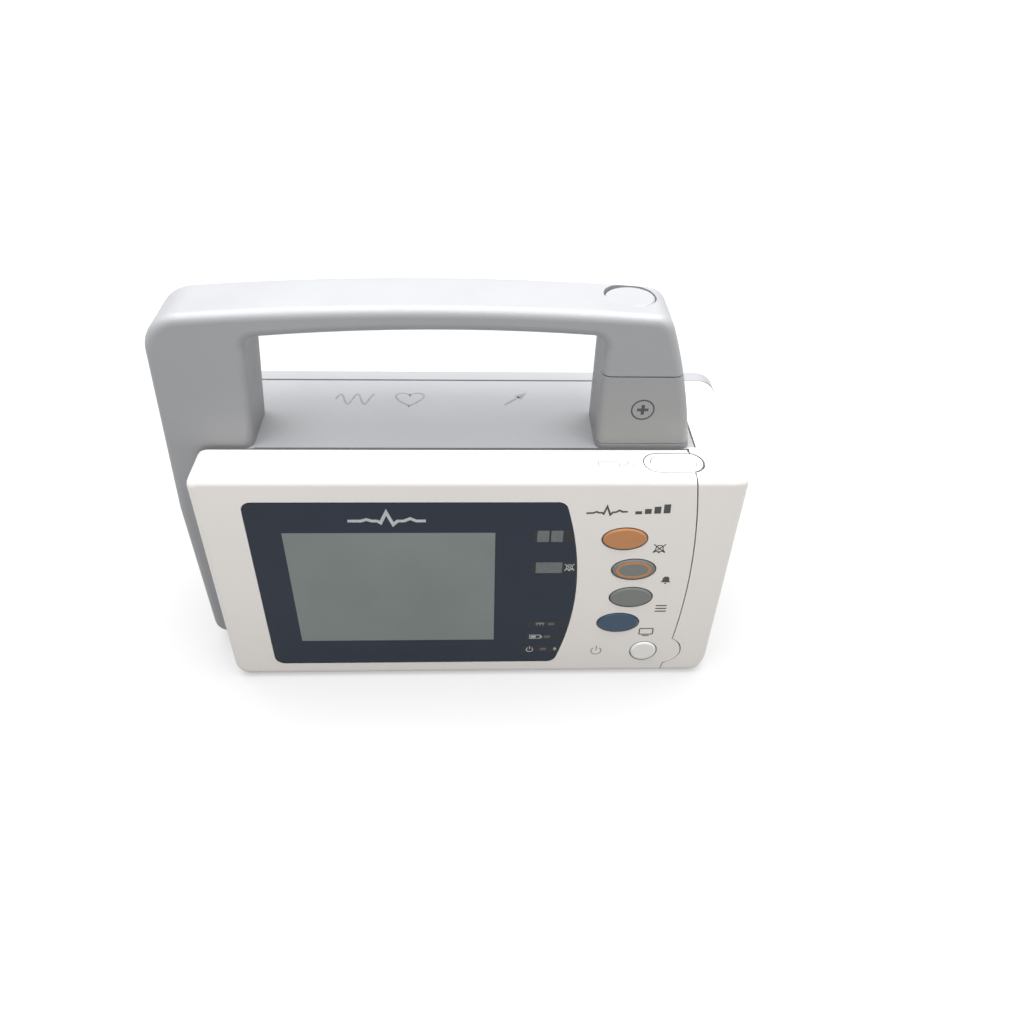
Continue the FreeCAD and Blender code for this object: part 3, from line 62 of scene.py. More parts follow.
class Shader:
    """A Principled material that is built one node at a time, in object coordinates measured in metres."""

    def __init__(self, name, rough, colour, metallic=0.0, specular=0.5, coat=0.0, sheen=0.0):
        self.material = bpy.data.materials.new(name)
        self.material.use_nodes = True
        self.tree = self.material.node_tree
        self.principled = self.tree.nodes["Principled BSDF"]
        self.principled.inputs["Metallic"].default_value = metallic
        self.principled.inputs["Specular IOR Level"].default_value = specular
        self.principled.inputs["Coat Weight"].default_value = coat
        self.principled.inputs["Coat Roughness"].default_value = 0.1
        self.principled.inputs["Sheen Weight"].default_value = sheen
        self.principled.inputs["Base Color"].default_value = (*colour, 1)
        self.principled.inputs["Roughness"].default_value = rough
        self.coordinates = self.node("ShaderNodeTexCoord").outputs["Object"]
        self.material.diffuse_color = (*colour, 1)

    def node(self, kind, **settings):
        made = self.tree.nodes.new(kind)
        for key, setting in settings.items():
            setattr(made, key, setting)
        return made

    def link(self, out, socket):
        self.tree.links.new(out, socket)

    def noise(self, scale, detail=3.0, rough=0.55, stretch=None):
        made = self.node("ShaderNodeTexNoise")
        made.inputs["Scale"].default_value = scale
        made.inputs["Detail"].default_value = detail
        made.inputs["Roughness"].default_value = rough
        source = self.coordinates
        if stretch:
            mapping = self.node("ShaderNodeMapping")
            mapping.inputs["Scale"].default_value = stretch
            self.link(source, mapping.inputs["Vector"])
            source = mapping.outputs["Vector"]
        self.link(source, made.inputs["Vector"])
        return made.outputs["Fac"]

    def cells(self, scale, feature="F1"):
        made = self.node("ShaderNodeTexVoronoi", feature=feature)
        made.inputs["Scale"].default_value = scale
        self.link(self.coordinates, made.inputs["Vector"])
        return made.outputs["Distance"]

    def ranged(self, source, low, high, new_low, new_high):
        made = self.node("ShaderNodeMapRange")
        for key, number in zip(("From Min", "From Max", "To Min", "To Max"), (low, high, new_low, new_high)):
            made.inputs[key].default_value = number
        self.link(source, made.inputs["Value"])
        return made.outputs["Result"]

    def math(self, operation, first, second):
        made = self.node("ShaderNodeMath", operation=operation)
        for socket, source in zip(made.inputs, (first, second)):
            if isinstance(source, (int, float)):
                socket.default_value = source
            else:
                self.link(source, socket)
        return made.outputs["Value"]

    def mix(self, factor, first, second):
        """Mixes two colours, each a tuple or an output."""
        made = self.node("ShaderNodeMix", data_type="RGBA")
        self.link(factor, made.inputs[0])
        for socket, source in ((made.inputs[6], first), (made.inputs[7], second)):
            if isinstance(source, tuple):
                socket.default_value = (*source, 1)
            else:
                self.link(source, socket)
        return made.outputs[2]

    def finish(self, colour=None, rough=None, height=None, depth=0.0001, strength=0.3):
        if colour is not None:
            self.link(colour, self.principled.inputs["Base Color"])
        if rough is not None:
            self.link(rough, self.principled.inputs["Roughness"])
        if height is not None:
            bump = self.node("ShaderNodeBump")
            bump.inputs["Strength"].default_value = strength
            bump.inputs["Distance"].default_value = depth
            self.link(height, bump.inputs["Height"])
            self.link(bump.outputs["Normal"], self.principled.inputs["Normal"])
        return self.material


def shade(colour, factor):
    return tuple(min(1.0, channel * factor) for channel in colour)


def moulded(name, colour, rough=0.45, grain=1800, depth=0.00006, mottle=0.03):
    """Injection-moulded plastic: spark-eroded grain, slow tone drift, and duller and glossier patches."""
    shader = Shader(name, rough, colour, specular=0.45)
    drift = shader.noise(14, 4, 0.6)
    tone = shader.mix(shader.ranged(drift, 0.3, 0.7, 0, 1),
                      shade(colour, 1 - mottle), shade(colour, 1 + mottle))
    specks = shader.ranged(shader.noise(900, 2), 0.62, 0.75, 0, 0.25)
    tone = shader.mix(specks, tone, shade(colour, 0.93))
    patches = shader.ranged(shader.noise(38, 5, 0.7), 0.3, 0.7, rough - 0.06, rough + 0.08)
    pits = shader.math("ADD", shader.cells(grain), shader.noise(grain * 0.6, 2))
    return shader.finish(tone, patches, pits, depth, 0.35)


def gloss(name, colour, rough, smudge=0.1):
    """Smooth hard plastic with faint wipe marks and dust."""
    shader = Shader(name, rough, colour)
    wipes = shader.noise(30, 5, 0.65, (1, 1, 6))
    tone = shader.mix(shader.ranged(wipes, 0.35, 0.7, 0, 1), colour, shade(colour, 1.06))
    uneven = shader.ranged(wipes, 0.3, 0.75, rough, rough + smudge)
    waves = shader.noise(220, 2)
    return shader.finish(tone, uneven, waves, 0.00002, 0.15)


def silicone(name, colour, rough=0.55):
    """Matt rubber key or seal: fine bloom and a slight sheen."""
    shader = Shader(name, rough, colour, specular=0.35, sheen=0.15)
    bloom = shader.noise(160, 5, 0.7)
    tone = shader.mix(shader.ranged(bloom, 0.35, 0.75, 0, 1), shade(colour, 0.95), shade(colour, 1.07))
    dust = shader.ranged(shader.noise(2400, 2), 0.6, 0.8, 0, 0.25)
    tone = shader.mix(dust, tone, shade(colour, 1.25))
    worn = shader.ranged(bloom, 0.3, 0.7, rough - 0.08, rough + 0.08)
    return shader.finish(tone, worn, shader.noise(2200, 3), 0.00004, 0.3)


def metal(name, colour, rough=0.35, stretch=(1, 1, 40), scratch=260):
    """Rolled or drawn metal with brushed lines and stains."""
    shader = Shader(name, rough, colour, metallic=1.0)
    lines = shader.noise(scratch, 4, 0.6, stretch)
    stains = shader.noise(45, 4, 0.6)
    tone = shader.mix(shader.ranged(stains, 0.35, 0.7, 0, 1), shade(colour, 0.86), shade(colour, 1.05))
    uneven = shader.ranged(lines, 0.3, 0.7, rough - 0.08, rough + 0.12)
    return shader.finish(tone, uneven, lines, 0.00003, 0.3)


def circuit(name, mask=(0.01, 0.12, 0.05)):
    """Solder mask over copper tracks, with pads and vias."""
    shader = Shader(name, 0.35, mask, specular=0.6, coat=0.3)
    grid = shader.node("ShaderNodeTexBrick", offset=0.5, squash=0.7)
    grid.inputs["Scale"].default_value = 170
    grid.inputs["Mortar Size"].default_value = 0.045
    grid.inputs["Color1"].default_value = (0, 0, 0, 1)
    grid.inputs["Color2"].default_value = (0, 0, 0, 1)
    grid.inputs["Mortar"].default_value = (1, 1, 1, 1)
    turned = shader.node("ShaderNodeMapping")
    turned.inputs["Rotation"].default_value = (math.pi / 2, 0, 0)
    shader.link(shader.coordinates, turned.inputs["Vector"])
    shader.link(turned.outputs["Vector"], grid.inputs["Vector"])
    tracks = shader.math("MULTIPLY", grid.outputs["Fac"], shader.ranged(shader.noise(60, 2), 0.45, 0.5, 0, 1))
    tone = shader.mix(tracks, mask, (0.04, 0.24, 0.09))
    vias = shader.ranged(shader.cells(330), 0.0, 0.16, 1, 0)
    tone = shader.mix(shader.ranged(vias, 0.45, 0.6, 0, 1), tone, (0.75, 0.62, 0.32))
    rough = shader.ranged(shader.noise(90, 3), 0.3, 0.7, 0.28, 0.45)
    return shader.finish(tone, rough, tracks, 0.00004, 0.4)


WHITE = (0.69, 0.66, 0.63)
GREY = (0.275, 0.28, 0.29)
MATERIALS = {
    "white_casing": moulded("white_casing", WHITE, 0.42, 1500, 0.00003, 0.015),
    "grey_casing": moulded("grey_casing", GREY, 0.46, 1300, 0.00004, 0.02),
    "panel_grey": moulded("panel_grey", (0.262, 0.265, 0.265), 0.42, 1300, 0.00004, 0.02),
    "dark_plastic": moulded("dark_plastic", (0.03, 0.03, 0.033), 0.5, 900),
    "battery_black": moulded("battery_black", (0.022, 0.022, 0.025), 0.48, 1100),
    "key_white": moulded("key_white", (0.70, 0.69, 0.66), 0.4, 2400, 0.00003, 0.015),
    "steel_tray": metal("steel_tray", (0.62, 0.62, 0.60), 0.32),
    "spring_steel": metal("spring_steel", (0.68, 0.67, 0.65), 0.22),
    "motor_metal": metal("motor_metal", (0.66, 0.66, 0.67), 0.3, (40, 1, 1)),
    "screw_steel": metal("screw_steel", (0.50, 0.50, 0.52), 0.3, (1, 1, 1)),
    "gold": metal("gold", (0.83, 0.62, 0.24), 0.22, (1, 1, 8)),
    "gasket": silicone("gasket", (0.018, 0.018, 0.02), 0.7),
    "silicone_mat": silicone("silicone_mat", (0.20, 0.20, 0.20)),
    "rubber_foot": silicone("rubber_foot", (0.05, 0.05, 0.052), 0.65),
    "tube_clear": silicone("tube_clear", (0.62, 0.58, 0.48), 0.35),
    "key_orange": silicone("key_orange", (0.43, 0.185, 0.065)),
    "key_grey": silicone("key_grey", (0.15, 0.16, 0.15)),
    "key_blue": silicone("key_blue", (0.02, 0.055, 0.10), 0.5),
    "board": circuit("board"),
    "lens": gloss("lens", (0.10, 0.11, 0.115), 0.2),
    "cell_wrap": gloss("cell_wrap", (0.03, 0.13, 0.28), 0.25),
    "red_ring": gloss("red_ring", (0.42, 0.02, 0.02), 0.25),
    "brown_ring": gloss("brown_ring", (0.16, 0.06, 0.025), 0.25),
    "blue_ring": gloss("blue_ring", (0.03, 0.12, 0.40), 0.25),
    "green_ring": gloss("green_ring", (0.03, 0.22, 0.09), 0.25),
    "white_port": gloss("white_port", (0.62, 0.62, 0.60), 0.25),
}


def window_material():
    """Hard-coated window: dark print all round, a clear anti-glare field over the display panel."""
    dark = (0.008, 0.015, 0.029)
    shader = Shader("window_dark", 0.2, dark, specular=0.3)
    parts = shader.node("ShaderNodeSeparateXYZ")
    shader.link(shader.coordinates, parts.inputs[0])
    middle = (LCD_LOW + LCD_HIGH) / 2
    half_wide, half_tall = 36.3 * MM, 27.2 * MM
    inside = None
    for out, centre, half in (("X", middle.x, half_wide), ("Z", middle.z, half_tall)):
        away = shader.math("ABSOLUTE", shader.math("SUBTRACT", parts.outputs[out], centre), 0.0)
        level = shader.ranged(away, half - 0.00012, half + 0.00012, 1, 0)
        inside = level if inside is None else shader.math("MULTIPLY", inside, level)
    cloudy = shader.noise(26, 4, 0.6)
    screen = shader.mix(shader.ranged(cloudy, 0.3, 0.7, 0, 1), (0.158, 0.180, 0.174), (0.186, 0.208, 0.202))
    sparkle = shader.ranged(shader.noise(5200, 1), 0.35, 0.65, 0, 1)
    screen = shader.mix(sparkle, screen, shader.mix(cloudy, (0.14, 0.165, 0.158), (0.20, 0.225, 0.218)))
    border = shader.mix(shader.ranged(shader.noise(18, 3), 0.3, 0.7, 0, 1), dark, shade(dark, 1.25))
    tone = shader.mix(inside, border, screen)
    rough = shader.ranged(inside, 0, 1, 0.24, 0.42)
    return shader.finish(tone, rough, shader.noise(300, 2), 0.00001, 0.1)


MATERIALS["window_dark"] = window_material()
MATERIALS["lcd"] = gloss("lcd", (0.17, 0.19, 0.185), 0.3)


def paint(item, material):
    """Puts one material on every face of an object."""
    if len(item.material_slots) == 0:
        item.data.materials.append(material)
    for slot in item.material_slots:
        slot.material = material


for entry in frame["record"]["subparts"]:
    paint(nodes[entry["node"]], MATERIALS[entry["material_slot"]])


# ---- printed marks and painted shade lines --------------------------------------------------------------

class Panel:
    """A flat place on the casing to print on and to paint shade lines on. Marks are given in millimetres
    right and up from its origin.
    """

    def __init__(self, origin, right, up, body):
        self.origin = Vector(origin)
        self.right = Vector(right).normalized()
        self.up = Vector(up).normalized()
        self.normal = self.right.cross(self.up).normalized()
        self.body = body

    def at(self, across, up, out=0.0):
        return self.origin + (self.right * across + self.up * up + self.normal * out) * MM

    def moved(self, across, up, turn=0.0):
        """The same plane with its origin moved and its axes turned, in degrees."""
        spin = Matrix.Rotation(math.radians(turn), 3, self.normal)
        return Panel(self.at(across, up), spin @ self.right, spin @ self.up, self.body)


INK_LIFT = 0.035
MARK_SINK = 0.05


def ribbon(points, width, closed=False):
    """Left and right edges of a mark's line of even width along a path, mitred at its corners."""
    count = len(points)
    left, right = [], []
    for index, point in enumerate(points):
        here = Vector(point)
        before = Vector(points[index - 1]) if closed or index > 0 else None
        after = Vector(points[(index + 1) % count]) if closed or index < count - 1 else None
        into = (here - before).normalized() if before is not None else (after - here).normalized()
        away = (after - here).normalized() if after is not None else into
        side = Vector((-(into + away).y, (into + away).x))
        side = side.normalized() if side.length > 1e-6 else Vector((-into.y, into.x))
        square = Vector((-into.y, into.x))
        reach = width / 2 / max(0.35, side.dot(square))
        left.append(here + side * reach)
        right.append(here - side * reach)
    return left, right


def print_and_shade_mark(name, panel, material, lines=(), shapes=(), thick=INK_LIFT):
    """One printed mark, or one painted shade line along a gap, as thin closed solids. lines: (points, width,
    closed). shapes: filled outlines.
    """
    mesh = bmesh.new()

    def wall(outline):
        low = [mesh.verts.new(panel.at(p[0], p[1], -MARK_SINK)) for p in outline]
        high = [mesh.verts.new(panel.at(p[0], p[1], thick)) for p in outline]
        return low, high

    def shell(low, high):
        mesh.faces.new(high)
        mesh.faces.new(low[::-1])
        for index in range(len(low)):
            after = (index + 1) % len(low)
            mesh.faces.new((low[index], low[after], high[after], high[index]))

    for points, width, closed in lines:
        left, right = ribbon(points, width, closed)
        if not closed:
            for index in range(len(points) - 1):
                quad = (right[index], right[index + 1], left[index + 1], left[index])
                shell(*wall(quad))
        else:
            outer_low, outer_high = wall(left)
            inner_low, inner_high = wall(right)
            total = len(left)
            for index in range(total):
                after = (index + 1) % total
                for one, other in ((outer_high, inner_high), (inner_low, outer_low),
                                   (outer_low, outer_high), (inner_high, inner_low)):
                    mesh.faces.new((one[index], one[after], other[after], other[index]))
    for outline in shapes:
        shell(*wall(outline))
    bmesh.ops.remove_doubles(mesh, verts=mesh.verts, dist=1e-7)
    bmesh.ops.recalc_face_normals(mesh, faces=mesh.faces)
    data = bpy.data.meshes.new(name)
    mesh.to_mesh(data)
    mesh.free()
    item = bpy.data.objects.new(name, data)
    scene.collection.objects.link(item)
    paint(item, material)
    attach(item, panel.body)


def ring_points(across, up, wide, tall, count=40, start=0.0, end=360.0):
    whole = abs(end - start) >= 360
    steps = count if whole else count + 1
    angles = [math.radians(start + (end - start) * step / count) for step in range(steps)]
    return [(across + wide / 2 * math.cos(angle), up + tall / 2 * math.sin(angle)) for angle in angles]


def box_points(left, low, right, high):
    return [(left, low), (right, low), (right, high), (left, high)]


def rounded_points(left, low, right, high, radius, steps=6):
    points = []
    for across, up, start in ((right - radius, low + radius, -90), (right - radius, high - radius, 0),
                              (left + radius, high - radius, 90), (left + radius, low + radius, 180)):
        for step in range(steps + 1):
            angle = math.radians(start + 90 * step / steps)
            points.append((across + radius * math.cos(angle), up + radius * math.sin(angle)))
    return points


def mark_material(name, colour, rough=0.4):
    """Screen print: slightly uneven cover and a fine mesh pattern; the dark and grey ones also colour painted
    shade lines.
    """
    shader = Shader(name, rough, colour, specular=0.4)
    cover = shader.noise(700, 3)
    tone = shader.mix(shader.ranged(cover, 0.35, 0.7, 0, 1), shade(colour, 0.9), shade(colour, 1.12))
    weave = shader.noise(3000, 1)
    return shader.finish(tone, shader.ranged(cover, 0.3, 0.7, rough - 0.05, rough + 0.1), weave, 0.00001, 0.2)


# dark and grey print colours, also used for the painted shade lines in the gaps round the keys, along the
# seams and at the deck joint
DARK_INK_AND_SHADE = mark_material("dark_ink_and_shade", (0.055, 0.055, 0.055))
GREY_INK_AND_SHADE = mark_material("grey_ink_and_shade", (0.20, 0.205, 0.205))
LIGHT_INK = mark_material("light_ink", (0.42, 0.44, 0.45))
BAND_INK = mark_material("band_ink", (0.008, 0.010, 0.013), 0.3)
LAMP_INK = mark_material("lamp_ink", (0.115, 0.125, 0.13), 0.35)
LED_INK = mark_material("led_ink", (0.085, 0.092, 0.095), 0.3)
PALE_MARK = mark_material("pale_mark", (0.70, 0.70, 0.68))
LABEL_INK = mark_material("label_stock", (0.62, 0.62, 0.60), 0.35)

SCREEN_X = (LCD_LOW.x + LCD_HIGH.x) / 2
SCREEN_Z = (LCD_LOW.z + LCD_HIGH.z) / 2
face = Panel((SCREEN_X, FACE, SCREEN_Z), (1, 0, 0), (0, 0, 1), "housing")
deck = Panel((SCREEN_X, FACE, DECK), (1, 0, 0), (0, 1, 0), "housing")
top = Panel((SCREEN_X, FACE, TOP), (1, 0, 0), (0, 1, 0), "housing")

# One heartbeat, a unit wide.
PULSE = [(0, 0), (0.17, 0), (0.24, 0.18), (0.31, 0), (0.38, 0), (0.42, -0.22), (0.50, 1.0), (0.58, -0.42),
         (0.64, 0), (0.72, 0), (0.80, 0.28), (0.88, 0), (1, 0)]


def window_right(up):
    """Right edge of the bowed window at a height above the display's middle, in millimetres."""
    radius, half, edge = 135.0, 40.4, 59.8
    middle = edge - math.sqrt(radius * radius - half * half)
    return middle + math.sqrt(radius * radius - up * up)


def band(name, left, low, high):
    """Darker strip of the window from a left edge to its bowed right edge."""
    steps = 8
    edge = [(window_right(low + (high - low) * step / steps) - 0.5, low + (high - low) * step / steps)
            for step in range(steps + 1)]
    print_and_shade_mark(name, face, BAND_INK, shapes=[[(left, high), (left, low)] + edge], thick=0.02)


def window_marks():
    pulse = [(-13.5 + 26.3 * x, 32.6 + 3.8 * y) for x, y in PULSE]
    print_and_shade_mark("window_pulse_mark", face, LIGHT_INK, lines=[(pulse, 1.15, False)], thick=0.03)
    band("alarm_band", 49.4, 22.6, 28.4)
    band("alarms_off_band", 49.6, 7.7, 13.5)
    for number, (left, low) in enumerate(((49.2, -20.4), (48.3, -27.5), (47.4, -34.6)), start=1):
        band("status_band_%d" % number, left, low, low + 3.5)
    lamp_faces = [rounded_points(50.8, 22.9, 54.9, 28.1, 0.3), rounded_points(55.6, 22.9, 59.7, 28.1, 0.3),
                  rounded_points(50.9, 8.0, 60.3, 13.2, 0.3)]
    print_and_shade_mark("lamp_faces", face, LAMP_INK, shapes=lamp_faces, thick=0.035)
    leds = [(57.9 - 1.2 * n, -18.7 - 7.1 * n) for n in range(3)]
    led_faces = [rounded_points(x - 1.2, y - 0.7, x + 1.2, y + 0.7, 0.4) for x, y in leds]
    print_and_shade_mark("led_faces", face, LED_INK, shapes=led_faces, thick=0.035)
    bell(face.moved(62.9, 10.7), 3.6, LIGHT_INK, "alarms_off_bell", crossed=True)
    mains = face.moved(53.7, -18.7)
    print_and_shade_mark("mains_mark", mains, LIGHT_INK, lines=[([(-1.6, 0.45), (1.6, 0.45)], 0.28, False)] + [
        ([(-1.5 + 1.2 * n, -0.45), (-0.9 + 1.2 * n, -0.45)], 0.28, False) for n in range(3)], thick=0.035)
    battery = face.moved(52.2, -25.8)
    print_and_shade_mark("battery_mark", battery, LIGHT_INK, lines=[(box_points(-2.1, -0.9, 1.9, 0.9), 0.3, True)],
        shapes=[box_points(2.1, -0.45, 2.6, 0.45), box_points(-1.6, -0.45, 0.2, 0.45)], thick=0.035)
    power_symbol(face.moved(50.3, -32.9), 2.9, 0.32, LIGHT_INK, "standby_mark")
    bolt = [(0.2, 1.3), (-0.7, -0.15), (-0.05, -0.15), (-0.3, -1.3), (0.7, 0.3), (0.05, 0.3)]
    print_and_shade_mark("charge_mark", face.moved(60.1, -32.9), LIGHT_INK, shapes=[bolt], thick=0.035)


def power_symbol(panel, size, width, material, name):
    arc = ring_points(0, -0.08 * size, size * 0.86, size * 0.86, 28, 125, 415)
    stroke = [(0, -0.02 * size), (0, 0.56 * size)]
    print_and_shade_mark(name, panel, material, lines=[(arc, width, False), (stroke, width, False)])


def bell(panel, size, material, name, crossed=False, filled=False):
    body = [(-0.42, -0.30), (-0.30, -0.14), (-0.27, 0.16), (-0.15, 0.34),
            (0.15, 0.34), (0.27, 0.16), (0.30, -0.14), (0.42, -0.30)]
    outline = [(x * size, y * size) for x, y in body]
    clapper = [(x * size * 0.1, -0.42 * size + y * size * 0.07) for x, y in ring_points(0, 0, 2, 2, 12)]
    lines = [] if filled else [(outline, size * 0.08, True)]
    shapes = [clapper] + ([outline] if filled else [])
    if crossed:
        lines.append(([(-0.48 * size, -0.44 * size), (0.48 * size, 0.46 * size)], size * 0.09, False))
        lines.append(([(-0.48 * size, 0.46 * size), (0.48 * size, -0.44 * size)], size * 0.09, False))
    print_and_shade_mark(name, panel, material, lines=lines, shapes=shapes)


def bezel_marks():
    """Pictograms beside the keys, and a pulse with rising bars in the upper right corner."""
    mark = face.moved(67.0, 34.4, 2.6)
    pulse = [(14.0 * x, 1.5 + 2.6 * y) for x, y in PULSE]
    bars = [box_points(16.6 + 3.2 * n, 0.2, 18.9 + 3.2 * n, 1.5 + 0.85 * n) for n in range(4)]
    print_and_shade_mark("corner_mark", mark, DARK_INK_AND_SHADE, lines=[(pulse, 0.7, False)], shapes=bars)
    bell(face.moved(94.0, 19.6), 4.4, DARK_INK_AND_SHADE, "silence_mark", crossed=True)
    bell(face.moved(98.4, 4.4), 4.4, DARK_INK_AND_SHADE, "alarms_mark", filled=True)
    rows = [([(-2.1, 1.5 - 1.5 * n), (2.1, 1.5 - 1.5 * n)], 0.55, False) for n in range(3)]
    print_and_shade_mark("smart_keys_mark", face.moved(98.6, -10.6), DARK_INK_AND_SHADE, lines=rows)
    screen = [(rounded_points(-2.6, -1.4, 2.6, 1.8, 0.4), 0.45, True),
              ([(-1.3, -2.2), (1.3, -2.2)], 0.45, False)]
    print_and_shade_mark("main_screen_mark", face.moved(94.6, -23.4), DARK_INK_AND_SHADE, lines=screen)
    power_symbol(face.moved(76.3, -33.8), 4.6, 0.38, GREY_INK_AND_SHADE, "power_mark")


def deck_marks():
    """Signs on the deck under the grip, a painted shade line at its front joint, and the battery and release
    signs on the bezel.
    """
    wave = [(-21.5 + 0.6 * n, 48.4 + 3.4 * math.sin(0.62 * n)) for n in range(24)]
    print_and_shade_mark("wave_mark", deck, GREY_INK_AND_SHADE, lines=[(wave, 0.75, False)])
    heart = deck.moved(5.4, 49.0)
    print_and_shade_mark("heart_mark", heart, GREY_INK_AND_SHADE, lines=[(heart_points(5.2), 0.75, True)])
    joint = [(FRAME_LOW.x / MM - SCREEN_X / MM + 31, 17.75), (PANEL_HIGH.x / MM - SCREEN_X / MM - 2, 17.75)]
    # partly painted shade of the gap at the deck's front joint, partly the dark gasket inside it
    print_and_shade_mark("joint_shade_line", deck, DARK_INK_AND_SHADE, lines=[(joint, 0.4, False)], thick=0.02)
    arrow = [(40.2, 44.8), (45.6, 50.2)]
    head = [(43.8, 50.9), (48.6, 53.2), (46.3, 48.4)]
    print_and_shade_mark("arrow_mark", deck, GREY_INK_AND_SHADE, lines=[(arrow, 0.95, False)], shapes=[head])
    sign = [(rounded_points(70.6, 6.6, 77.6, 9.6, 0.6), 0.28, True)]
    chevrons = [([(x, 7.2), (x + 1.0, 8.1), (x, 9.0)], 0.22, False) for x in (71.9, 73.4, 74.9)]
    print_and_shade_mark("battery_sign", top, GREY_INK_AND_SHADE, lines=sign + chevrons, thick=0.02)
    triangle = [(79.4, 7.0), (82.6, 7.0), (81.0, 9.4)]
    print_and_shade_mark("release_sign", top, GREY_INK_AND_SHADE, lines=[(triangle, 0.28, True)], thick=0.02)


def pillar_mark():
    """A plain cross in a ring on the pillar's lower panel."""
    panel = Panel(PANEL_LOW, (1, 0, 0), (0, 0, 1), "housing").moved(14.5, 13.6)
    ring = (ring_points(0, 0, 7.4, 7.4, 40), 0.5, True)
    cross = [(1.9, 0.55), (0.55, 0.55), (0.55, 1.9), (-0.55, 1.9), (-0.55, 0.55), (-1.9, 0.55), (-1.9, -0.55),
             (-0.55, -0.55), (-0.55, -1.9), (0.55, -1.9), (0.55, -0.55), (1.9, -0.55)]
    print_and_shade_mark("pillar_mark", panel, DARK_INK_AND_SHADE, lines=[ring], shapes=[cross])


def key_gap_shade_lines():
    """Painted shade: a fine dark line on the bezel at the edge of each key's hole, where the gap round the
    key falls into shade.
    """
    place = Panel((0, FACE, 0), (1, 0, 0), (0, 0, 1), "housing")
    for key in ("silence", "alarms", "smart", "main", "power"):
        low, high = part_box("key_" + key)
        across, up = ((low + high) / 2).x / MM, ((low + high) / 2).z / MM
        material, wide, tall, line = DARK_INK_AND_SHADE, 16.1, 10.3, 0.3
        if key == "power":
            material, wide, tall, line = GREY_INK_AND_SHADE, 10.7, 10.7, 0.22
        # painted shade of the gap round each key, in grey beside the power key
        rim = ring_points(across, up, wide, tall, 64)
        print_and_shade_mark(key + "_gap_shade_line", place, material, lines=[(rim, line, True)], thick=0.02)


def seam_shade_lines():
    """Painted shade: a dark line along the seam across the bezel's top and round the eject button's boss,
    where the gaps fall into shade.
    """
    cap_low, cap_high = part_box("battery_cap")
    low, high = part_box("eject_button")
    place = Panel((0, 0, cap_high.z), (1, 0, 0), (0, 1, 0), "housing")
    seam = cap_low.x / MM - 0.65
    middle = (low.y + high.y) / 2 / MM
    left, right = low.x / MM - 2.4, high.x / MM + 2.4
    boss = rounded_points(left, middle - 5.3, right, middle + 5.3, 5.2)
    # painted shadow of the groove round the eject button's boss
    print_and_shade_mark("eject_boss_shade_line", place, DARK_INK_AND_SHADE, lines=[(boss, 0.4, True)], thick=0.02)
    # painted shadow of the seam gap between the bezel and the battery cap
    for name, start, end in (("front", FACE / MM + 2.6, middle - 5.8),
                             ("rear", middle + 5.8, BEZEL_HIGH.y / MM)):
        line = [(seam, start), (seam, end)]
        print_and_shade_mark("seam_shade_line_" + name, place, DARK_INK_AND_SHADE, lines=[(line, 0.4, False)], thick=0.02)


def heart_points(size):
    angles = [2 * math.pi * step / 28 for step in range(28)]
    return [
        (size * math.sin(a) ** 3,
         size * (0.81 * math.cos(a) - 0.31 * math.cos(2 * a) - 0.12 * math.cos(3 * a)))
        for a in angles
    ]


def socket_marks():
    """A pictogram at the front of each patient socket."""
    plate_low, plate_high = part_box("connector_plate")
    strip = (plate_low.y / MM + 2.5) * -1
    side = Panel((plate_low.x, 0, 0), (0, -1, 0), (0, 0, 1), "housing")

    def beside(node):
        low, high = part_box(node)
        return side.moved(strip, (low.z + high.z) / 2 / MM)

    drop = [(0, 2.0), (0.55, 0.9), (0.95, 0.0), (0.95, -0.6), (0.6, -1.2),
            (0, -1.45), (-0.6, -1.2), (-0.95, -0.6), (-0.95, 0.0), (-0.55, 0.9)]
    print_and_shade_mark("pressure_sign", beside("pressure_socket"), PALE_MARK, lines=[(drop, 0.32, True)])
    stem = rounded_points(-0.4, -0.6, 0.4, 2.0, 0.35)
    print_and_shade_mark("temperature_sign", beside("temp_socket"), PALE_MARK, lines=[(stem, 0.28, True)],
        shapes=[ring_points(0, -1.2, 1.5, 1.5, 20)])
    band_lines = [(rounded_points(-1.4, -1.1, 1.4, 1.1, 0.5), 0.32, True),
                  ([(0.5, -1.1), (0.5, 1.1)], 0.28, False)]
    print_and_shade_mark("cuff_sign", beside("cuff_port"), PALE_MARK, lines=band_lines)
    finger = [(-0.8, -1.6), (-0.8, 0.8), (-0.5, 1.4), (0, 1.65), (0.5, 1.4), (0.8, 0.8), (0.8, -1.6)]
    print_and_shade_mark("oxygen_sign", beside("spo2_socket"), PALE_MARK, lines=[(finger, 0.32, False)],
        shapes=[ring_points(0, 0.4, 0.7, 0.7, 14)])
    print_and_shade_mark("heart_sign", beside("ecg_socket"), PALE_MARK, lines=[(heart_points(1.7), 0.32, True)])


def rear_label():
    """Label with plain bars, below the grille on the docking block."""
    low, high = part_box("dock_block")
    back = Panel((0, high.y, 0), (-1, 0, 0), (0, 0, 1), "housing")
    area = back.moved(40, high.z / MM - 52)
    print_and_shade_mark("rear_label", area, LABEL_INK, shapes=[rounded_points(-19, -13, 19, 13, 1.5)], thick=0.02)
    raised = Panel(area.at(0, 0, 0.02), area.right, area.up, "housing")
    rows = [box_points(-16, 8.2 - 3.4 * n, (2, 9, -3, 12, 5)[n], 9.4 - 3.4 * n) for n in range(5)]
    frame_line = [(rounded_points(-17.6, -11.6, 17.6, 11.6, 1.0), 0.25, True)]
    print_and_shade_mark("rear_label_bars", raised, DARK_INK_AND_SHADE, lines=frame_line, shapes=rows, thick=0.015)


key_gap_shade_lines()
seam_shade_lines()
socket_marks()
rear_label()
window_marks()
bezel_marks()
deck_marks()
pillar_mark()


# ---- stage ----------------------------------------------------------------------------------------------

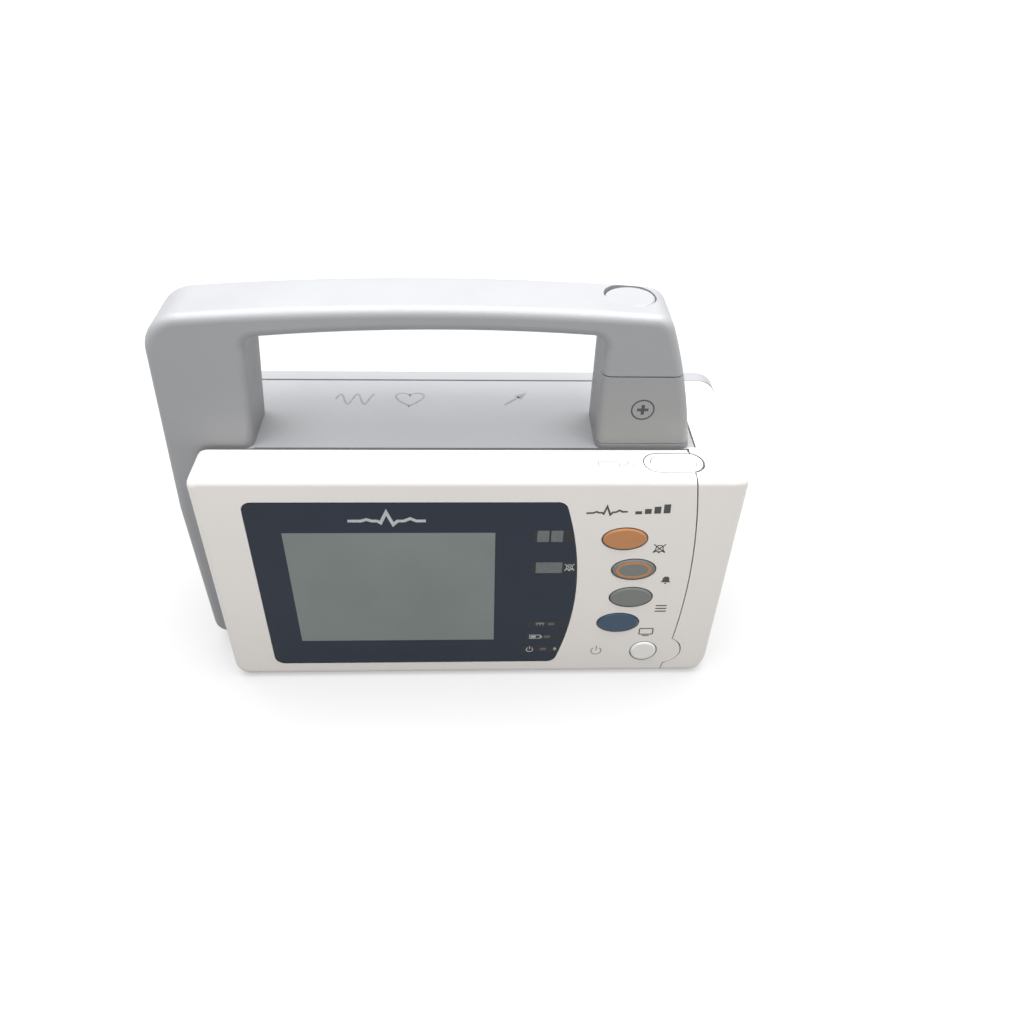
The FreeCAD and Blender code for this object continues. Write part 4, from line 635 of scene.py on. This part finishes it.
def stage_material():
    """White sweep that glows a little near the object and fully further off."""
    shader = Shader("stage", 0.9, (0.22, 0.22, 0.22), specular=0.1)
    shader.principled.inputs["Emission Color"].default_value = (1, 1, 1, 1)
    reach = shader.node("ShaderNodeVectorMath", operation="LENGTH")
    shader.link(shader.coordinates, reach.inputs[0])
    seen = shader.node("ShaderNodeLightPath").outputs["Is Camera Ray"]
    glow = shader.math("ADD", shader.ranged(reach.outputs["Value"], 0.25, 0.75, 0.29, 1.0),
                       shader.math("MULTIPLY", seen, 0.2))
    shader.link(glow, shader.principled.inputs["Emission Strength"])
    drift = shader.noise(2, 3)
    tone = shader.mix(drift, (0.235, 0.235, 0.235), (0.245, 0.245, 0.245))
    return shader.finish(tone, None, shader.noise(60, 2), 0.0001, 0.05)


def make_stage():
    mesh = bmesh.new()
    bmesh.ops.create_grid(mesh, x_segments=8, y_segments=8, size=4.0)
    data = bpy.data.meshes.new("stage_floor")
    mesh.to_mesh(data)
    mesh.free()
    floor = bpy.data.objects.new("stage_floor", data)
    floor.location.z = 0.0
    scene.collection.objects.link(floor)
    paint(floor, stage_material())


def area_light(name, place, target, size, power):
    light = bpy.data.lights.new(name, "AREA")
    light.shape = "RECTANGLE"
    light.size, light.size_y = size
    light.energy = power
    item = bpy.data.objects.new(name, light)
    item.location = place
    item.rotation_euler = (Vector(target) - Vector(place)).to_track_quat("-Z", "Y").to_euler()
    scene.collection.objects.link(item)


def make_lights():
    world = bpy.data.worlds.new("studio")
    scene.world = world
    world.use_nodes = True
    tree = world.node_tree
    tree.nodes["Background"].inputs["Color"].default_value = (1.0, 1.0, 1.0, 1)
    tree.nodes["Background"].inputs["Strength"].default_value = 0.10
    bright = tree.nodes.new("ShaderNodeBackground")
    bright.inputs["Strength"].default_value = 1.1
    path = tree.nodes.new("ShaderNodeLightPath")
    mix = tree.nodes.new("ShaderNodeMixShader")
    tree.links.new(path.outputs["Is Camera Ray"], mix.inputs[0])
    tree.links.new(tree.nodes["Background"].outputs[0], mix.inputs[1])
    tree.links.new(bright.outputs[0], mix.inputs[2])
    tree.links.new(mix.outputs[0], tree.nodes["World Output"].inputs["Surface"])
    area_light("top_softbox", place=(0.03, -0.03, 0.95), target=(0.03, -0.03, 0.05),
               size=(1.35, 1.15), power=37.0)


def make_camera():
    """Lens, place and tilt that the object is seen with."""
    camera = bpy.data.cameras.new("camera")
    camera.lens = 30.18
    camera.clip_start = 0.01
    item = bpy.data.objects.new("camera", camera)
    item.location = (0.00704, -0.26357, 0.26995)
    item.rotation_euler = tuple(math.radians(angle) for angle in (50.073, -1.424, -1.839))
    scene.collection.objects.link(item)
    scene.camera = item


make_stage()
make_lights()
make_camera()
